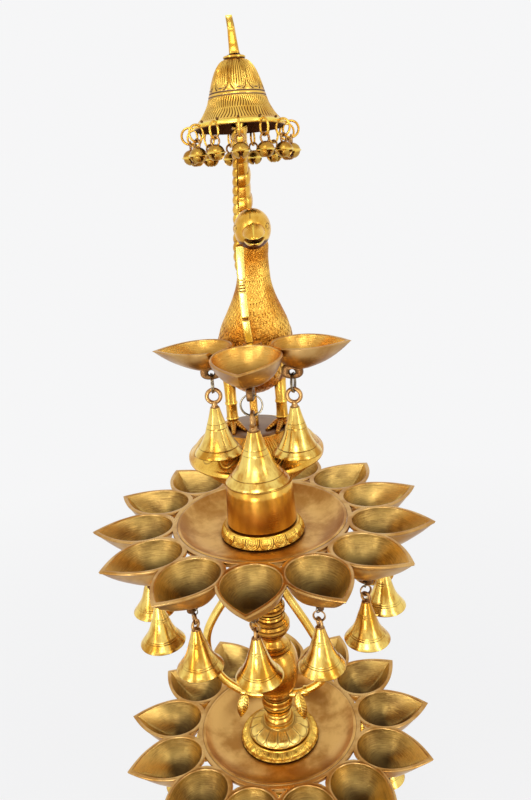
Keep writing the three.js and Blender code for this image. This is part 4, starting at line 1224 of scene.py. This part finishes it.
def base():
    """A heavy foot ring and a dome with two engraved bands, after the parts above."""
    foot = blank()
    spin(foot, [(116.6, 0.0), (138.8, 0.0)] + arc_points((138.4, 1.6), 1.6, -60, 0, 3)
        + [(140.0, 5.6), (139.2, 6.6), (139.2, 7.4, 0.8), (139.6, 8.2)]
        + arc_points((134.2, 8.2), 5.6, 5, 85, 6) + [(130.4, 14.0), (117.0, 14.0), (116.2, 13.2),
        (116.2, 0.8), (116.6, 0.0)], 160)
    piece("base_foot_turned", foot, [TURNED], "base_foot")

    low = FOOT_HEIGHT + CLEARANCE
    top = low + DOME_HEIGHT
    dome = blank()
    outside = [(102.4, low), (129.4, low)] + [(130.0, low + 0.8),
        (129.6, low + 3.0)] + even(eased([(126.5, low + 8.0), (117.0, low + 12.6), (108.0, low + 14.6)], 5),
        1.3) + [(105.6, low + 16.4), (104.6, low + 18.6)]
    outside += even(eased([(102.0, low + 23.0), (94.0, low + 25.6), (84.0, low + 27.8), (74.4, low + 29.2)],
        5), 1.3)
    outside += even(eased([(71.6, low + 31.0), (60.0, low + 37.6), (50.4, low + 43.0), (46.8, low + 46.4)],
        6), 1.0)
    outside += [(45.6, low + 48.2), (44.2, low + 49.4), (40.0, low + 53.4), (36.9, low + 56.8), (35.8, top),
        (BORE, top)]
    inside = [(BORE, top - 6.0), (34.0, top - 6.0), (44.0, top - 18.0), (70.0, low + 24.0),
        (98.0, low + 18.0), (102.4, low)]

    def pattern(turns, radius, height):
        if (radius, height) in inside:
            return 0.0
        if 108.5 < radius < 125.5 and height > low + 8:
            t = (125.5 - radius) / 17.0
            s = abs(fold(turns * 44)) * 2
            end = petal_edge(s, t, 0.55, 1.9)
            return max(line(end - 0.93, 0.12), 0.7 * line(end - 0.66, 0.09), 0.8 * line(t - 0.97, 0.08))
        if 48.0 < radius < 70.5 and height > low + 30:
            t = (70.5 - radius) / 22.5
            s = abs(fold(turns * 20)) * 2
            end = petal_edge(s, t, 0.5, 2.0)
            cut = deepest(end, (0.94, 0.08, 1.0), (0.74, 0.06, 0.8))
            if end < 0.6:
                cut = max(cut, 0.6 * line(fold(turns * 140), 0.2))
            return cut
        return max(line(height - low - 17.5, 0.8), line(radius - 76.5, 0.8), line(radius - 99.0, 0.8))

    engraved(dome, outside + inside, 660, pattern, 0.8)
    piece("base_dome_chased", dome, [CAST], "base_dome")


def seen(nodes):
    """One where a ray shows the background itself: to the camera, in polished metal or through glass."""
    kinds = ("Camera", "Glossy", "Transmission")
    camera_ray, glossy_ray, glass_ray = (nodes.node("ShaderNodeLightPath", {},
        output=f"Is {kind} Ray") for kind in kinds)
    return camera_ray.at_least(glossy_ray).at_least(glass_ray)


BACKGROUND = (0.922, 0.922, 0.928, 1.0)
ROOM_LIGHT = 0.68


def studio():
    """A pale floor that fades into a bright room, two tall soft lamps and one above and one below them."""
    floor_shape = bmesh.new()
    bmesh.ops.create_grid(floor_shape, x_segments=1, y_segments=1, size=6.0)
    mesh = bpy.data.meshes.new("floor")
    floor_shape.to_mesh(mesh)
    floor_shape.free()
    shown("floor", mesh)
    pale = Shader("pale_floor")
    away = pale.node("ShaderNodeVectorMath", {"operation": "LENGTH"}, [pale.place], output="Value")
    fade = pale.node("ShaderNodeMapRange", {}, [away, 0.5, 1.6, 0.84, 1.0])
    glow = pale.node("ShaderNodeEmission", {}, [BACKGROUND])
    mesh.materials.append(pale.finish(Base_Color=(0.88, 0.88, 0.885), Roughness=0.8))
    plain = Socket(pale, pale.principled.outputs[0])
    both = pale.node("ShaderNodeMixShader", {}, [fade * seen(pale), plain, glow])
    pale.feed(pale.tree.nodes["Material Output"].inputs["Surface"], both)

    world = bpy.data.worlds.new("studio")
    room = Nodes(world)
    backdrop = room.tree.nodes["Background"]
    room.feed(backdrop.inputs["Color"], BACKGROUND)
    room.feed(backdrop.inputs["Strength"], seen(room) * (1.0 - ROOM_LIGHT) + ROOM_LIGHT)
    bpy.context.scene.world = world
    soft_lamp("left_softbox", (-1.2, -1.3, 1.05), (0.0, 0.0, 0.75), (0.24, 1.7), 7.5)
    soft_lamp("right_softbox", (1.35, -1.05, 1.05), (0.0, 0.0, 0.75), (0.24, 1.7), 7.0)
    soft_lamp("key_softbox", (-0.1, -1.45, 2.0), (0.0, 0.0, 0.72), (0.6, 0.6), 8.0)
    soft_lamp("low_softbox", (-0.32, -1.4, 0.3), (0.0, 0.0, 0.6), (0.36, 0.5), 8.0)


def soft_lamp(name, place, target, size, power):
    data = bpy.data.lights.new(name, "AREA")
    data.shape = "RECTANGLE"
    data.size, data.size_y = size
    data.energy = power
    lamp = shown(name, data)
    aim = Vector(target) - Vector(place)
    lamp.matrix_world = Matrix.Translation(place) @ aim.to_track_quat("-Z", "Y").to_matrix().to_4x4()


camera()
studio()
for tier, rim, turn in (("upper", UPPER_RIM, 0.0), ("lower", LOWER_RIM, LOWER_TURN)):
    tray(tier, rim, turn)
    tray_bells(tier, rim, turn)
stem("lower", FOOT_HEIGHT + DOME_HEIGHT + 2 * CLEARANCE, LOWER_RIM - DISH_UNDER)
middle_ribs = stem("middle", LOWER_RIM - DISH_DROP + CLEARANCE, UPPER_RIM - DISH_UNDER)
scroll_arm("left_scroll_arm", -1, 0.913, [(32, 0.95), (52, 0.795), (72, 0.565), (74, 0.37), (62, 0.155),
    (36, 0.02)], (-36, -2, 6), (-43, -10, -25), middle_ribs)
scroll_arm("right_scroll_arm", 1, 0.853, [(24, 0.87), (43, 0.615), (57, 0.37), (54, 0.14), (32, 0.02)],
    (25, -3, 6), (31, -12, -27), middle_ribs)
base()
upper_group(UPPER_RIM)
peacock(UPPER_RIM)
breast_cups()
beak_garland(UPPER_RIM)
tail_plume(UPPER_RIM)
canopy()
finial(UPPER_RIM)
bpy.context.scene.view_settings.view_transform = "Standard"
